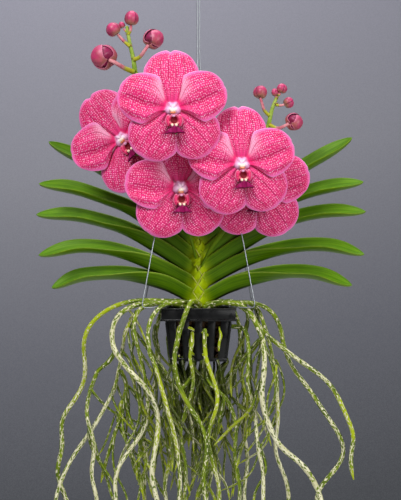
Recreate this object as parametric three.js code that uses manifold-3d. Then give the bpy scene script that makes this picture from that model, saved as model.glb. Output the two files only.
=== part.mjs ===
// Vanda orchid in a hanging slatted basket: strap leaves in two ranks, two flower spikes,
// aerial roots, a square plastic basket and the bent wires and hook that it hangs from.
// Millimetres, +Z up, the flowers face -Y.  The origin is the inside of the hook's crown.
import * as THREE from 'three';
import { mergeVertices } from 'three/addons/utils/BufferGeometryUtils.js';
import Module from 'manifold-3d';

const wasm = await Module();
wasm.setup();

// ---- driving dimensions ------------------------------------------------------------------
const RIM_BELOW_HOOK = 387;
const GAP = 0.35;

const RIM_HALF = 41;
const RIM_INNER_HALF = 36.2;
const RIM_HEIGHT = 14;
const WALL_TOP_HALF = 37.6;
const WALL_BOTTOM_HALF = 30.6;
const WALL = 3;
const BASKET_DEPTH = 58;
const FLOOR_HALF = WALL_BOTTOM_HALF + 0.4;
const FLOOR_THICKNESS = 3;
const FLOOR_EDGE_WIDTH = 6;
const FLOOR_EDGE_HEIGHT = 4;
const FLOOR_BAR_HALF = 3;
const FLOOR_BAR_PLACES = [-1, 0, 1];
const SLAT_TOP = -6;
const SLAT_WIDTH = 8.5;
const SLAT_PITCH = 15;
const SLAT_PLACES = [-2, -1, 0, 1, 2];
const BARK_CLEARANCE = WALL + GAP + 1.2;

const WIRE_RADIUS = 0.7;
const HOOK_WIRE_RADIUS = 0.8;
const HOOK_INNER_RADIUS = 12;
const HOOK_START = -52;
const HOOK_END = 208;
const HOOK_STEP = 20;
const SHANK_LEAN = 2.4;
const SHANK_NECK = 4;
const STRAND_OFFSET = 1.3;
const FERRULE_INNER_RADIUS = 2.85;
const FERRULE_OUTER_RADIUS = 3.9;
const FERRULE_LENGTH = 12;
const FERRULE_BOTTOM = 341;

const STEM_HALF_X = 6.5;
const STEM_HALF_Y = 8;
const STEM_TOP = 74;
const STEM_BOTTOM = -12;
const STEM_CROWN = 2;
const SHEATHS = 6;
const SHEATHED_LENGTH = STEM_TOP - STEM_BOTTOM - 8;

const LEAF_THICKNESS = 1.7;
const LEAF_HALF_WIDTH = 17.5;
const LEAF_BASE_HALF_WIDTH = 11;
const LEAF_CLOSED = 70;
const LEAF_OPEN_NEAR = 17;
const LEAF_OPEN_FAR = 58;
const YOUNG_LEAF_SCALE = 0.42;

const TEPAL_THICKNESS = 1.2;
const TEPAL_LAYER = TEPAL_THICKNESS + 0.4;
const TEPAL_START = -2;
const FLOWER_RADIUS = 57;
const DORSAL = { turn: 90, length: 56, half: 27 };
const LATERAL = { turn: 236, length: 61, half: 25 };
const PETAL = { turn: 168, length: 57, half: 26 };
const TEPAL_WIDEST = 0.6;
const CLAW_SHARE = 0.22;
const FACE = TEPAL_LAYER + TEPAL_THICKNESS + GAP;
const TONGUE_TOP = -6.5;
const TONGUE_LENGTH = 15.5;
const TONGUE_REACH = 14;
const TONGUE_THICKNESS = 2;
const LOBE_SIZE = [2.4, 12, 7];
const LOBE_PLACE = { x: 7.4, y: -9.5, z: 3.6 };
const COLUMN_RISE = 1.6;

const RACHIS_RADII = [2.9, 1.5];
const FLOWER_STALK_RADII = [1.7, 2.3];
const BUD_STALK_RADII = [1.2, 1.5];

const ROOT_SIDES = 5;
const ROOT_STEP = 17;
const ROOT_CLEARANCE = 1.1;
const ROOT_TIP = 0.62;
const RELAX_STEP = 7;
const RELAX_ROUNDS = 90;
const SETTLING_ROUNDS = 20;
const EASE_EVERY = 6;
const EASE_SHARE = 0.12;
const PUSH_SHARE = 0.3;
const HELD_START = 4;

// ---- solids ------------------------------------------------------------------------------
function deform(geometry, move) {
  const position = geometry.attributes.position;
  const point = new THREE.Vector3();
  for (let i = 0; i < position.count; i += 1) {
    point.fromBufferAttribute(position, i);
    move(point);
    position.setXYZ(i, point.x, point.y, point.z);
  }
  return geometry;
}

function merged(geometry) {
  const bare = geometry.clone();
  bare.deleteAttribute('normal');
  bare.deleteAttribute('uv');
  return mergeVertices(bare, 1e-4);
}

function toSolid(geometry) {
  const closed = merged(geometry);
  const vertProperties = new Float32Array(closed.attributes.position.array);
  const triVerts = new Uint32Array(closed.index.array);
  return new wasm.Manifold(new wasm.Mesh({ numProp: 3, vertProperties, triVerts }));
}

function joined(geometries) {
  const body = geometries.map(toSolid).reduce((whole, piece) => whole.add(piece));
  const mesh = body.getMesh();
  const geometry = new THREE.BufferGeometry();
  geometry.setAttribute('position', new THREE.BufferAttribute(mesh.vertProperties, 3));
  geometry.setIndex(new THREE.BufferAttribute(mesh.triVerts, 1));
  return geometry;
}

function box(low, high) {
  const geometry = new THREE.BoxGeometry(high[0] - low[0], high[1] - low[1], high[2] - low[2]);
  return geometry.translate((low[0] + high[0]) / 2, (low[1] + high[1]) / 2, (low[2] + high[2]) / 2);
}

const vector = (point) => new THREE.Vector3(...point);

function smoothStep(low, high, value) {
  return THREE.MathUtils.smoothstep(value, low, high);
}

const smoothCurve = (points) => new THREE.CatmullRomCurve3(points, false, 'centripetal');

// Points along a smooth curve: so many for each span, or one for each length of it.
function perSpan(points, count) {
  return smoothCurve(points).getPoints(count * (points.length - 1));
}

function perLength(points, length) {
  const curve = smoothCurve(points);
  return curve.getSpacedPoints(Math.max(2, Math.ceil(curve.getLength() / length)));
}

// One direction across each point of a line, carried along it without twisting.
function carriedAcross(tangents) {
  const start = Math.abs(tangents[0].x) < 0.6 ? new THREE.Vector3(1, 0, 0) : new THREE.Vector3(0, 1, 0);
  let across = start;
  return tangents.map((tangent) => {
    across = across.clone().addScaledVector(tangent, -across.dot(tangent)).normalize();
    return across;
  });
}

// A round strand along a line of points, its radius given by how far along it is, 0 to 1.
function strand(line, radiusAt, sides = ROOT_SIDES) {
  const last = line.length - 1;
  const tangents = line.map((point, i) => {
    const next = line[Math.min(i + 1, last)];
    return next.clone().sub(line[Math.max(i - 1, 0)]).normalize();
  });
  const across = carriedAcross(tangents);
  return deform(new THREE.CylinderGeometry(1, 1, 1, sides, last), (point) => {
    const along = point.y + 0.5;
    const index = Math.round(along * last);
    const radius = radiusAt(along);
    const beside = across[index].clone().cross(tangents[index]);
    const offset = across[index].clone().multiplyScalar(point.x * radius);
    offset.addScaledVector(beside, point.z * radius);
    point.copy(line[index]).add(offset);
  });
}

const even = (radius) => () => radius;

function taper(from, to) {
  return (along) => THREE.MathUtils.lerp(from, to, along);
}

// A root keeps its width and draws in to a blunt tip over its last part.
function rootRadius(radius) {
  return (along) => radius * (1 - ROOT_TIP * smoothStep(0.9, 1, along));
}

function egg(centre, width, length, direction) {
  const shape = new THREE.SphereGeometry(1, 8, 6);
  shape.scale(width / 2, length / 2, width / 2);
  const up = new THREE.Vector3(0, 1, 0);
  shape.applyQuaternion(new THREE.Quaternion().setFromUnitVectors(up, direction.normalize()));
  return shape.translate(centre.x, centre.y, centre.z);
}

// ---- the plant and its finishes ----------------------------------------------------------
const orchid = new THREE.Group();
orchid.position.z = -RIM_BELOW_HOOK;

function finish(colour, roughness, metalness = 0) {
  return () => new THREE.MeshStandardMaterial({ color: colour, roughness, metalness });
}

const finishes = {
  basket: finish(0x22242a, 0.5),
  wire: finish(0xc8ccd0, 0.3, 1),
  bark: finish(0x6a4526, 0.9),
  stem: finish(0x8fa018, 0.5),
  leaf: finish(0x4f8a1e, 0.4),
  spike: finish(0x8fae45, 0.5),
  tepal: finish(0xe8417f, 0.55),
  lip: finish(0xa8135c, 0.5),
  column: finish(0xfbe6f2, 0.4),
  root: finish(0x7c9434, 0.75),
};

function add(name, geometry, look, parent = orchid) {
  const mesh = new THREE.Mesh(geometry, finishes[look]());
  mesh.name = name;
  parent.add(mesh);
}

// ---- basket ------------------------------------------------------------------------------
// Half the distance between the outer faces of two opposite walls, at a height.
function wallHalf(z) {
  const down = (-z) / BASKET_DEPTH;
  return THREE.MathUtils.lerp(WALL_TOP_HALF, WALL_BOTTOM_HALF, down);
}

function slat(place, turn) {
  const half = SLAT_WIDTH / 2;
  const geometry = box([-half, 0, -BASKET_DEPTH], [half, WALL, SLAT_TOP]);
  deform(geometry, (point) => {
    const squeeze = wallHalf(point.z) / WALL_TOP_HALF;
    point.x += place * SLAT_PITCH * squeeze;
    point.y -= wallHalf(point.z);
  });
  return geometry.rotateZ(turn);
}

function basketShape() {
  const pieces = [];
  const low = -BASKET_DEPTH;
  const edgeInner = FLOOR_HALF - FLOOR_EDGE_WIDTH;
  for (const side of [0, 1, 2, 3]) {
    const turn = side * Math.PI / 2;
    const rim = box([-RIM_HALF, -RIM_HALF, -RIM_HEIGHT], [RIM_HALF, -RIM_INNER_HALF, 0]);
    const edge = box([-FLOOR_HALF, -FLOOR_HALF, low], [FLOOR_HALF, -edgeInner, low + FLOOR_EDGE_HEIGHT]);
    pieces.push(rim.rotateZ(turn), edge.rotateZ(turn));
    SLAT_PLACES.forEach((place) => pieces.push(slat(place, turn)));
  }
  for (const place of FLOOR_BAR_PLACES) {
    const x = place * SLAT_PITCH * (WALL_BOTTOM_HALF / WALL_TOP_HALF);
    const start = [x - FLOOR_BAR_HALF, -FLOOR_HALF + 1, low + 0.5];
    pieces.push(box(start, [x + FLOOR_BAR_HALF, FLOOR_HALF - 1, low + FLOOR_THICKNESS]));
  }
  return joined(pieces);
}

add('basket', basketShape(), 'basket');

// Coarse bark, loosely filling the lower part of the basket.
const BARK_TOP = STEM_BOTTOM - GAP;
const BARK_BOTTOM = -BASKET_DEPTH + FLOOR_EDGE_HEIGHT + GAP;

function barkShape() {
  const height = BARK_TOP - BARK_BOTTOM;
  const geometry = new THREE.BoxGeometry(2, 2, height, 4, 4, 3);
  geometry.translate(0, 0, (BARK_TOP + BARK_BOTTOM) / 2);
  return deform(geometry, (point) => {
    const unevenness = 0.96 + 0.02 * Math.sin(point.z * 0.9 + point.x * 5) * Math.cos(point.y * 4);
    const corner = 1 - 0.06 * Math.abs(point.x * point.y);
    const half = (wallHalf(point.z) - BARK_CLEARANCE) * unevenness * corner;
    point.x *= half;
    point.y *= half;
  });
}

add('bark_medium', barkShape(), 'bark');

// ---- hanger ------------------------------------------------------------------------------
// Each wire hooks over a corner of the rim, stands out on a level foot, rises and bows in.
function hangerWire(side, depth) {
  const foot = WIRE_RADIUS + GAP;
  const route = [
    [34.4, 34.4, -5], [34.6, 34.6, -0.6], [35.4, 35.4, foot + 0.5], [37.2, 37.2, foot + 0.4],
    [43, 42.5, foot], [54, 49, foot], [58.6, 51.3, 1.6], [60, 52, 4.4], [59.4, 51.4, 9],
    [55.5, 48.4, 30], [50.4, 44.6, 59], [45.6, 40.1, 84], [40, 35, 110], [33.8, 29.8, 138],
    [27, 24, 165], [19.8, 17.8, 192], [12.5, 11.5, 218], [6.6, 6.1, 240], [2.6, 2.5, 258],
    [STRAND_OFFSET, STRAND_OFFSET, 272], [STRAND_OFFSET, STRAND_OFFSET, 354],
  ];
  const line = route.map(([x, y, z]) => new THREE.Vector3(side * x, depth * y, z));
  return strand(line, even(WIRE_RADIUS), 5);
}

add('wire_front_left', hangerWire(-1, -1), 'wire');
add('wire_front_right', hangerWire(1, -1), 'wire');
add('wire_back_left', hangerWire(-1, 1), 'wire');
add('wire_back_right', hangerWire(1, 1), 'wire');

function ferruleShape() {
  const profile = [
    new THREE.Vector2(FERRULE_INNER_RADIUS, 0),
    new THREE.Vector2(FERRULE_OUTER_RADIUS, 0),
    new THREE.Vector2(FERRULE_OUTER_RADIUS, FERRULE_LENGTH),
    new THREE.Vector2(FERRULE_INNER_RADIUS, FERRULE_LENGTH),
    new THREE.Vector2(FERRULE_INNER_RADIUS, 0),
  ];
  return new THREE.LatheGeometry(profile, 16).rotateX(Math.PI / 2).translate(0, 0, FERRULE_BOTTOM);
}

add('wire_ferrule', ferruleShape(), 'wire');

// A shank, a bend out to one side and an arc over the crown to an open end.
function hookShape() {
  const radius = HOOK_INNER_RADIUS + HOOK_WIRE_RADIUS;
  const centre = RIM_BELOW_HOOK - HOOK_INNER_RADIUS;
  const points = [vector([0, 0, FERRULE_BOTTOM]), vector([0, 0, FERRULE_BOTTOM + FERRULE_LENGTH])];
  points.push(vector([SHANK_LEAN, 0, centre - radius - SHANK_NECK]));
  for (let degrees = HOOK_START; degrees <= HOOK_END; degrees += HOOK_STEP) {
    const angle = THREE.MathUtils.degToRad(degrees);
    points.push(vector([radius * Math.cos(angle), 0, centre + radius * Math.sin(angle)]));
  }
  return strand(perSpan(points, 1), even(HOOK_WIRE_RADIUS), 6);
}

add('hanging_hook', hookShape(), 'wire');

// ---- stem --------------------------------------------------------------------------------
// Old leaf bases sheathe the stem.  Each swells from a narrow foot to a shoulder.
function stemShape() {
  const points = [new THREE.Vector2(0, STEM_BOTTOM)];
  const pitch = SHEATHED_LENGTH / SHEATHS;
  const slim = (z) => 1 - 0.3 * smoothStep(4, STEM_TOP, z);
  for (let sheath = 0; sheath < SHEATHS; sheath += 1) {
    const foot = STEM_BOTTOM + sheath * pitch;
    const shoulder = foot + pitch * 0.8;
    points.push(new THREE.Vector2((sheath === 0 ? 0.72 : 0.87) * slim(foot), foot));
    points.push(new THREE.Vector2(slim(shoulder), shoulder));
  }
  points.push(new THREE.Vector2(0.5, STEM_TOP - STEM_CROWN));
  points.push(new THREE.Vector2(0, STEM_TOP));
  const shape = new THREE.LatheGeometry(points, 10).rotateX(Math.PI / 2);
  return shape.scale(STEM_HALF_X, STEM_HALF_Y, 1);
}

add('stem', stemShape(), 'stem');

// ---- leaves ------------------------------------------------------------------------------
// A leaf is a strap folded along its keel.  Its two wings stand steep at the base and open
// outwards, the near one further than the far one, so that it leans towards the front.
function leafFold(along) {
  const opening = smoothStep(0.16, 0.62, along);
  const foldTo = (open) => {
    return THREE.MathUtils.degToRad(THREE.MathUtils.lerp(LEAF_CLOSED, open, opening));
  };
  return { near: foldTo(LEAF_OPEN_NEAR), far: foldTo(LEAF_OPEN_FAR) };
}

function leafHalfWidth(along) {
  const widening = smoothStep(0, 0.32, along);
  const tip = Math.sqrt(1 - Math.pow(smoothStep(0.62, 1.04, along), 1.6));
  return THREE.MathUtils.lerp(LEAF_BASE_HALF_WIDTH, LEAF_HALF_WIDTH, widening) * tip;
}

// The points are the middle of the leaf's side view, as x and z, from the stem to the tip.
function leafShape(points, sweep, scale = 1) {
  const curve = new THREE.CatmullRomCurve3(points.map(([x, z]) => new THREE.Vector3(x, 0, z)));
  const geometry = new THREE.BoxGeometry(1, 2, 1, 14, 4, 1);
  const outwards = Math.sign(points[points.length - 1][0]);
  return deform(geometry, (point) => {
    const along = outwards > 0 ? point.x + 0.5 : 0.5 - point.x;
    const { near, far } = leafFold(along);
    const half = leafHalfWidth(along) * scale;
    const wing = point.y < 0 ? near : far;
    const reach = Math.abs(point.y) * half;
    const tangent = curve.getTangentAt(along);
    const up = new THREE.Vector3(-tangent.z, 0, tangent.x).multiplyScalar(outwards);
    const sink = half * Math.max(Math.sin(near), Math.sin(far)) / 2;
    const thickness = LEAF_THICKNESS * scale * (1 - 0.35 * Math.abs(point.y));
    const rise = reach * Math.sin(wing) - sink + point.z * thickness / Math.cos(wing * 0.75);
    const side = Math.sign(point.y) * reach * Math.cos(wing) + sweep * along * along;
    point.copy(curve.getPointAt(along)).addScaledVector(up, rise);
    point.y += side;
  });
}

const leaves = {
  leaf_left_1: {
    points: [[-8, 13], [-36, 27], [-76, 37], [-104, 38], [-136, 34], [-162, 21]],
    sweep: 2,
  },
  leaf_left_2: {
    points: [[-7.2, 27], [-37, 42], [-70, 57], [-103, 66], [-139, 67], [-176, 57]],
    sweep: -3,
  },
  leaf_left_3: {
    points: [[-7.4, 42], [-37, 63], [-75, 85], [-103, 95], [-141, 103], [-179, 102]],
    sweep: 3,
  },
  leaf_left_4: {
    points: [[-7.6, 57], [-31, 76], [-70, 107], [-103, 121], [-141, 133], [-176, 136]],
    sweep: 2,
  },
  leaf_left_5: {
    points: [[-5.2, 70], [-31, 98], [-64, 126], [-97, 148], [-130, 166], [-162, 181]],
    sweep: 6,
  },
  leaf_right_1: {
    points: [[8, 10], [35, 25], [68, 35], [101, 40], [135, 37], [169, 24]],
    sweep: -2,
  },
  leaf_right_2: {
    points: [[7.6, 26], [46, 50], [81, 63], [115, 69], [150, 68], [183, 58]],
    sweep: 3,
  },
  leaf_right_3: {
    points: [[7.4, 41], [46, 69], [81, 89], [115, 102], [150, 107], [184, 105]],
    sweep: -3,
  },
  leaf_right_4: {
    points: [[7.6, 56], [41, 84], [76, 108], [112, 125], [150, 135], [182, 138]],
    sweep: 2,
  },
  leaf_right_5: {
    points: [[5, 70], [41, 103], [76, 131], [112, 154], [141, 171], [167, 184]],
    sweep: 5,
  },
};
Object.entries(leaves).forEach(([name, leaf]) => add(name, leafShape(leaf.points, leaf.sweep), 'leaf'));

const youngLeaves = {
  leaf_young_left: {
    points: [[-2.8, 73.5], [-6.4, 92], [-15, 112], [-27, 131]],
    sweep: 3,
  },
  leaf_young_right: {
    points: [[2.8, 73.3], [6.4, 89], [11, 103], [18, 117]],
    sweep: 2,
  },
};
Object.entries(youngLeaves).forEach(([name, leaf]) => {
  add(name, leafShape(leaf.points, leaf.sweep, YOUNG_LEAF_SCALE), 'leaf');
});

// ---- flowers -----------------------------------------------------------------------------
// A flower's own frame: x to its right, y up, z out of its face.  Degrees: yaw turns it to the
// right, pitch tips it up, roll leans its top to the left and droop lowers its two petals.
const flowers = {
  flower_a: {
    at: [-27, -104, 209], yaw: 3, pitch: 2, roll: 1, scale: 0.985,
    droop: 0, sepalReflex: 6, petalReflex: 6,
  },
  flower_b: {
    at: [-81, -51, 181], yaw: -18, pitch: 3, roll: 40, scale: 0.97,
    droop: -8, sepalReflex: -2, petalReflex: -2,
  },
  flower_c: {
    at: [-20, -62, 129], yaw: 9, pitch: -2, roll: 0, scale: 0.98,
    droop: 14, sepalReflex: 9, petalReflex: -5,
  },
  flower_d: {
    at: [45, -87, 153], yaw: 3, pitch: 0, roll: 2, scale: 0.96,
    droop: 3, sepalReflex: 6, petalReflex: 6,
  },
  flower_e: {
    at: [62, -48, 130], yaw: 3, pitch: -2, roll: -6, scale: 0.97,
    droop: 0, sepalReflex: 6, petalReflex: 6,
  },
};

function flowerGroup({ at, yaw, pitch, roll, scale }) {
  const group = new THREE.Group();
  const turn = THREE.MathUtils.degToRad;
  const rotate = (axis, degrees) => new THREE.Quaternion().setFromAxisAngle(axis, turn(degrees));
  group.position.set(...at);
  group.quaternion.copy(rotate(new THREE.Vector3(0, 0, 1), yaw));
  group.quaternion.multiply(rotate(new THREE.Vector3(1, 0, 0), 90 - pitch));
  group.quaternion.multiply(rotate(new THREE.Vector3(0, 0, 1), roll));
  group.scale.setScalar(scale);
  group.updateMatrix();
  return group;
}

// A tepal falls back by its reflex at its tip, or reaches forward where that is negative.
function fallBack(reflex, x, y) {
  return -reflex * (x * x + y * y) / (FLOWER_RADIUS * FLOWER_RADIUS);
}

function tepalOutline(along) {
  if (along < TEPAL_WIDEST) {
    const widening = Math.pow(Math.sin(Math.PI / 2 * along / TEPAL_WIDEST), 1.3);
    return THREE.MathUtils.lerp(CLAW_SHARE, 1, widening);
  }
  return Math.sqrt(1 - 0.9 * Math.pow((along - TEPAL_WIDEST) / (1 - TEPAL_WIDEST), 2));
}

function tepal({ turn, length, half }, layer, reflex) {
  const angle = THREE.MathUtils.degToRad(turn);
  return deform(new THREE.BoxGeometry(1, 2, 1, 5, 2, 1), (point) => {
    const along = point.x + 0.5;
    const out = THREE.MathUtils.lerp(TEPAL_START, length, along);
    const across = point.y * half * tepalOutline(along);
    const x = out * Math.cos(angle) - across * Math.sin(angle);
    const y = out * Math.sin(angle) + across * Math.cos(angle);
    point.set(x, y, layer + (point.z + 0.5) * TEPAL_THICKNESS + fallBack(reflex, x, y));
  });
}

const mirrorTurn = (blade) => ({ ...blade, turn: 180 - blade.turn });

function sepalsShape({ sepalReflex }) {
  const blades = [DORSAL, LATERAL, mirrorTurn(LATERAL)];
  return joined(blades.map((blade) => tepal(blade, 0, sepalReflex)));
}

function petalsShape({ droop, petalReflex }) {
  const blade = { ...PETAL, turn: PETAL.turn + droop };
  return joined([blade, mirrorTurn(blade)].map((side) => tepal(side, TEPAL_LAYER, petalReflex)));
}

// The lip is a hollow between two side lobes, with a broad tongue reaching forward and down.
function lipShape() {
  const tongue = deform(new THREE.BoxGeometry(1, 2, 1, 4, 2, 1), (point) => {
    const along = point.x + 0.5;
    const half = THREE.MathUtils.lerp(6, 9.5, Math.sin(Math.PI * (0.2 + 0.62 * along)));
    const thickness = point.z * TONGUE_THICKNESS;
    const cornerDroop = 1.6 * point.y * point.y * along;
    const y = TONGUE_TOP - TONGUE_LENGTH * along + thickness * 0.5 - cornerDroop;
    point.set(point.y * half, y, FACE + 1.4 + TONGUE_REACH * along + thickness * 0.9);
  });
  const lobe = (side) => deform(new THREE.BoxGeometry(...LOBE_SIZE, 1, 2, 2), (point) => {
    const splay = 0.09 * (point.z + LOBE_SIZE[2] / 2);
    point.x += side * (LOBE_PLACE.x + splay);
    point.y += LOBE_PLACE.y;
    point.z += FACE + LOBE_PLACE.z;
  });
  return joined([tongue, lobe(1), lobe(-1)]);
}

function columnShape() {
  const profile = [[0, 0], [4.6, 0], [4.2, 4], [3.9, 8], [2.4, 10], [0, 10.4]];
  const points = profile.map(([radius, height]) => new THREE.Vector2(radius, height));
  const shape = new THREE.LatheGeometry(points, 8).rotateX(Math.PI / 2);
  return shape.translate(0, COLUMN_RISE, FACE);
}

Object.entries(flowers).forEach(([name, flower]) => {
  const group = flowerGroup(flower);
  orchid.add(group);
  add(`${name}_sepals`, sepalsShape(flower), 'tepal', group);
  add(`${name}_petals`, petalsShape(flower), 'tepal', group);
  add(`${name}_lip`, lipShape(), 'lip', group);
  add(`${name}_column`, columnShape(), 'column', group);
});

// ---- spikes ------------------------------------------------------------------------------
// A flower stalk runs from the spike to the back of its flower and meets it square.
function flowerStalk(route, name) {
  const { matrix } = flowerGroup(flowers[name]);
  const onAxis = (z) => new THREE.Vector3(0, 0, z).applyMatrix4(matrix);
  const points = [...route.map(vector), onAxis(-13), onAxis(-5), onAxis(-GAP)];
  return strand(perSpan(points, 2), taper(...FLOWER_STALK_RADII), 5);
}

// A bud sits on the end of its own stalk, in line with it.
function budOnStalk({ route, width, length }) {
  const points = route.map(vector);
  const centre = points[points.length - 1];
  const direction = centre.clone().sub(points[points.length - 2]);
  return [strand(perSpan(points, 1), taper(...BUD_STALK_RADII), 5), egg(centre, width, length, direction)];
}

function spikeShape({ rachis, stalks, buds }) {
  const pieces = [strand(perSpan(rachis.map(vector), 1), taper(...RACHIS_RADII), 6)];
  Object.entries(stalks).forEach(([name, route]) => pieces.push(flowerStalk(route, name)));
  buds.forEach((bud) => pieces.push(...budOnStalk(bud)));
  return joined(pieces);
}

const leftSpike = {
  rachis: [
    [-2.6, -8, 53], [-8, -20, 74], [-18, -32, 100], [-32, -39, 140], [-46, -42, 178], [-60, -42, 220],
    [-68, -40, 254], [-70, -40, 268], [-73, -40, 281], [-75, -40, 291], [-77, -40, 304],
  ],
  stalks: {
    flower_a: [[-65, -42, 238], [-55, -58, 242], [-41, -76, 234]],
    flower_b: [[-50, -42, 190], [-61, -34, 190]],
    flower_c: [[-40, -41, 160], [-31, -46, 152]],
  },
  buds: [
    { route: [[-67, -40, 252], [-82, -41, 261], [-95, -42, 266], [-102, -43, 272]], width: 22, length: 25 },
    { route: [[-74, -40, 285], [-80, -41, 290], [-90, -41, 299]], width: 13, length: 13.6 },
    { route: [[-77, -40, 303], [-81, -40, 304.5]], width: 6, length: 6.6 },
    { route: [[-76, -40, 294], [-73, -41, 301], [-72, -41, 312]], width: 13, length: 15.5 },
    { route: [[-71, -40, 271], [-60, -41, 277], [-53, -42, 284], [-48, -42, 292]], width: 19, length: 22 },
  ],
};

const rightSpike = {
  rachis: [
    [2.6, -8.4, 44], [13, -17, 64], [30, -24, 88], [46, -26, 112], [59, -26, 140], [69, -29, 170],
    [75, -33, 194], [79, -35, 213], [83, -35, 224], [86, -35, 230],
  ],
  stalks: {
    flower_d: [[74, -33, 192], [70, -48, 196], [62, -66, 188]],
    flower_e: [[56, -26, 132], [60, -30, 131]],
  },
  buds: [
    { route: [[78, -35, 210], [70, -36, 216], [67, -36, 224], [67, -36, 234]], width: 13, length: 14.6 },
    { route: [[84, -35, 226], [82, -35, 233]], width: 6.4, length: 8.6 },
    { route: [[86, -35, 229], [90, -36, 237]], width: 10.4, length: 11 },
    { route: [[82, -35, 219], [91, -36, 219], [98, -36, 222]], width: 11, length: 12 },
    { route: [[76, -34, 199], [88, -36, 195], [97, -38, 197], [103, -38, 201]], width: 17.6, length: 19 },
  ],
};

add('spike_left', spikeShape(leftSpike), 'spike');
add('spike_right', spikeShape(rightSpike), 'spike');

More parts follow.
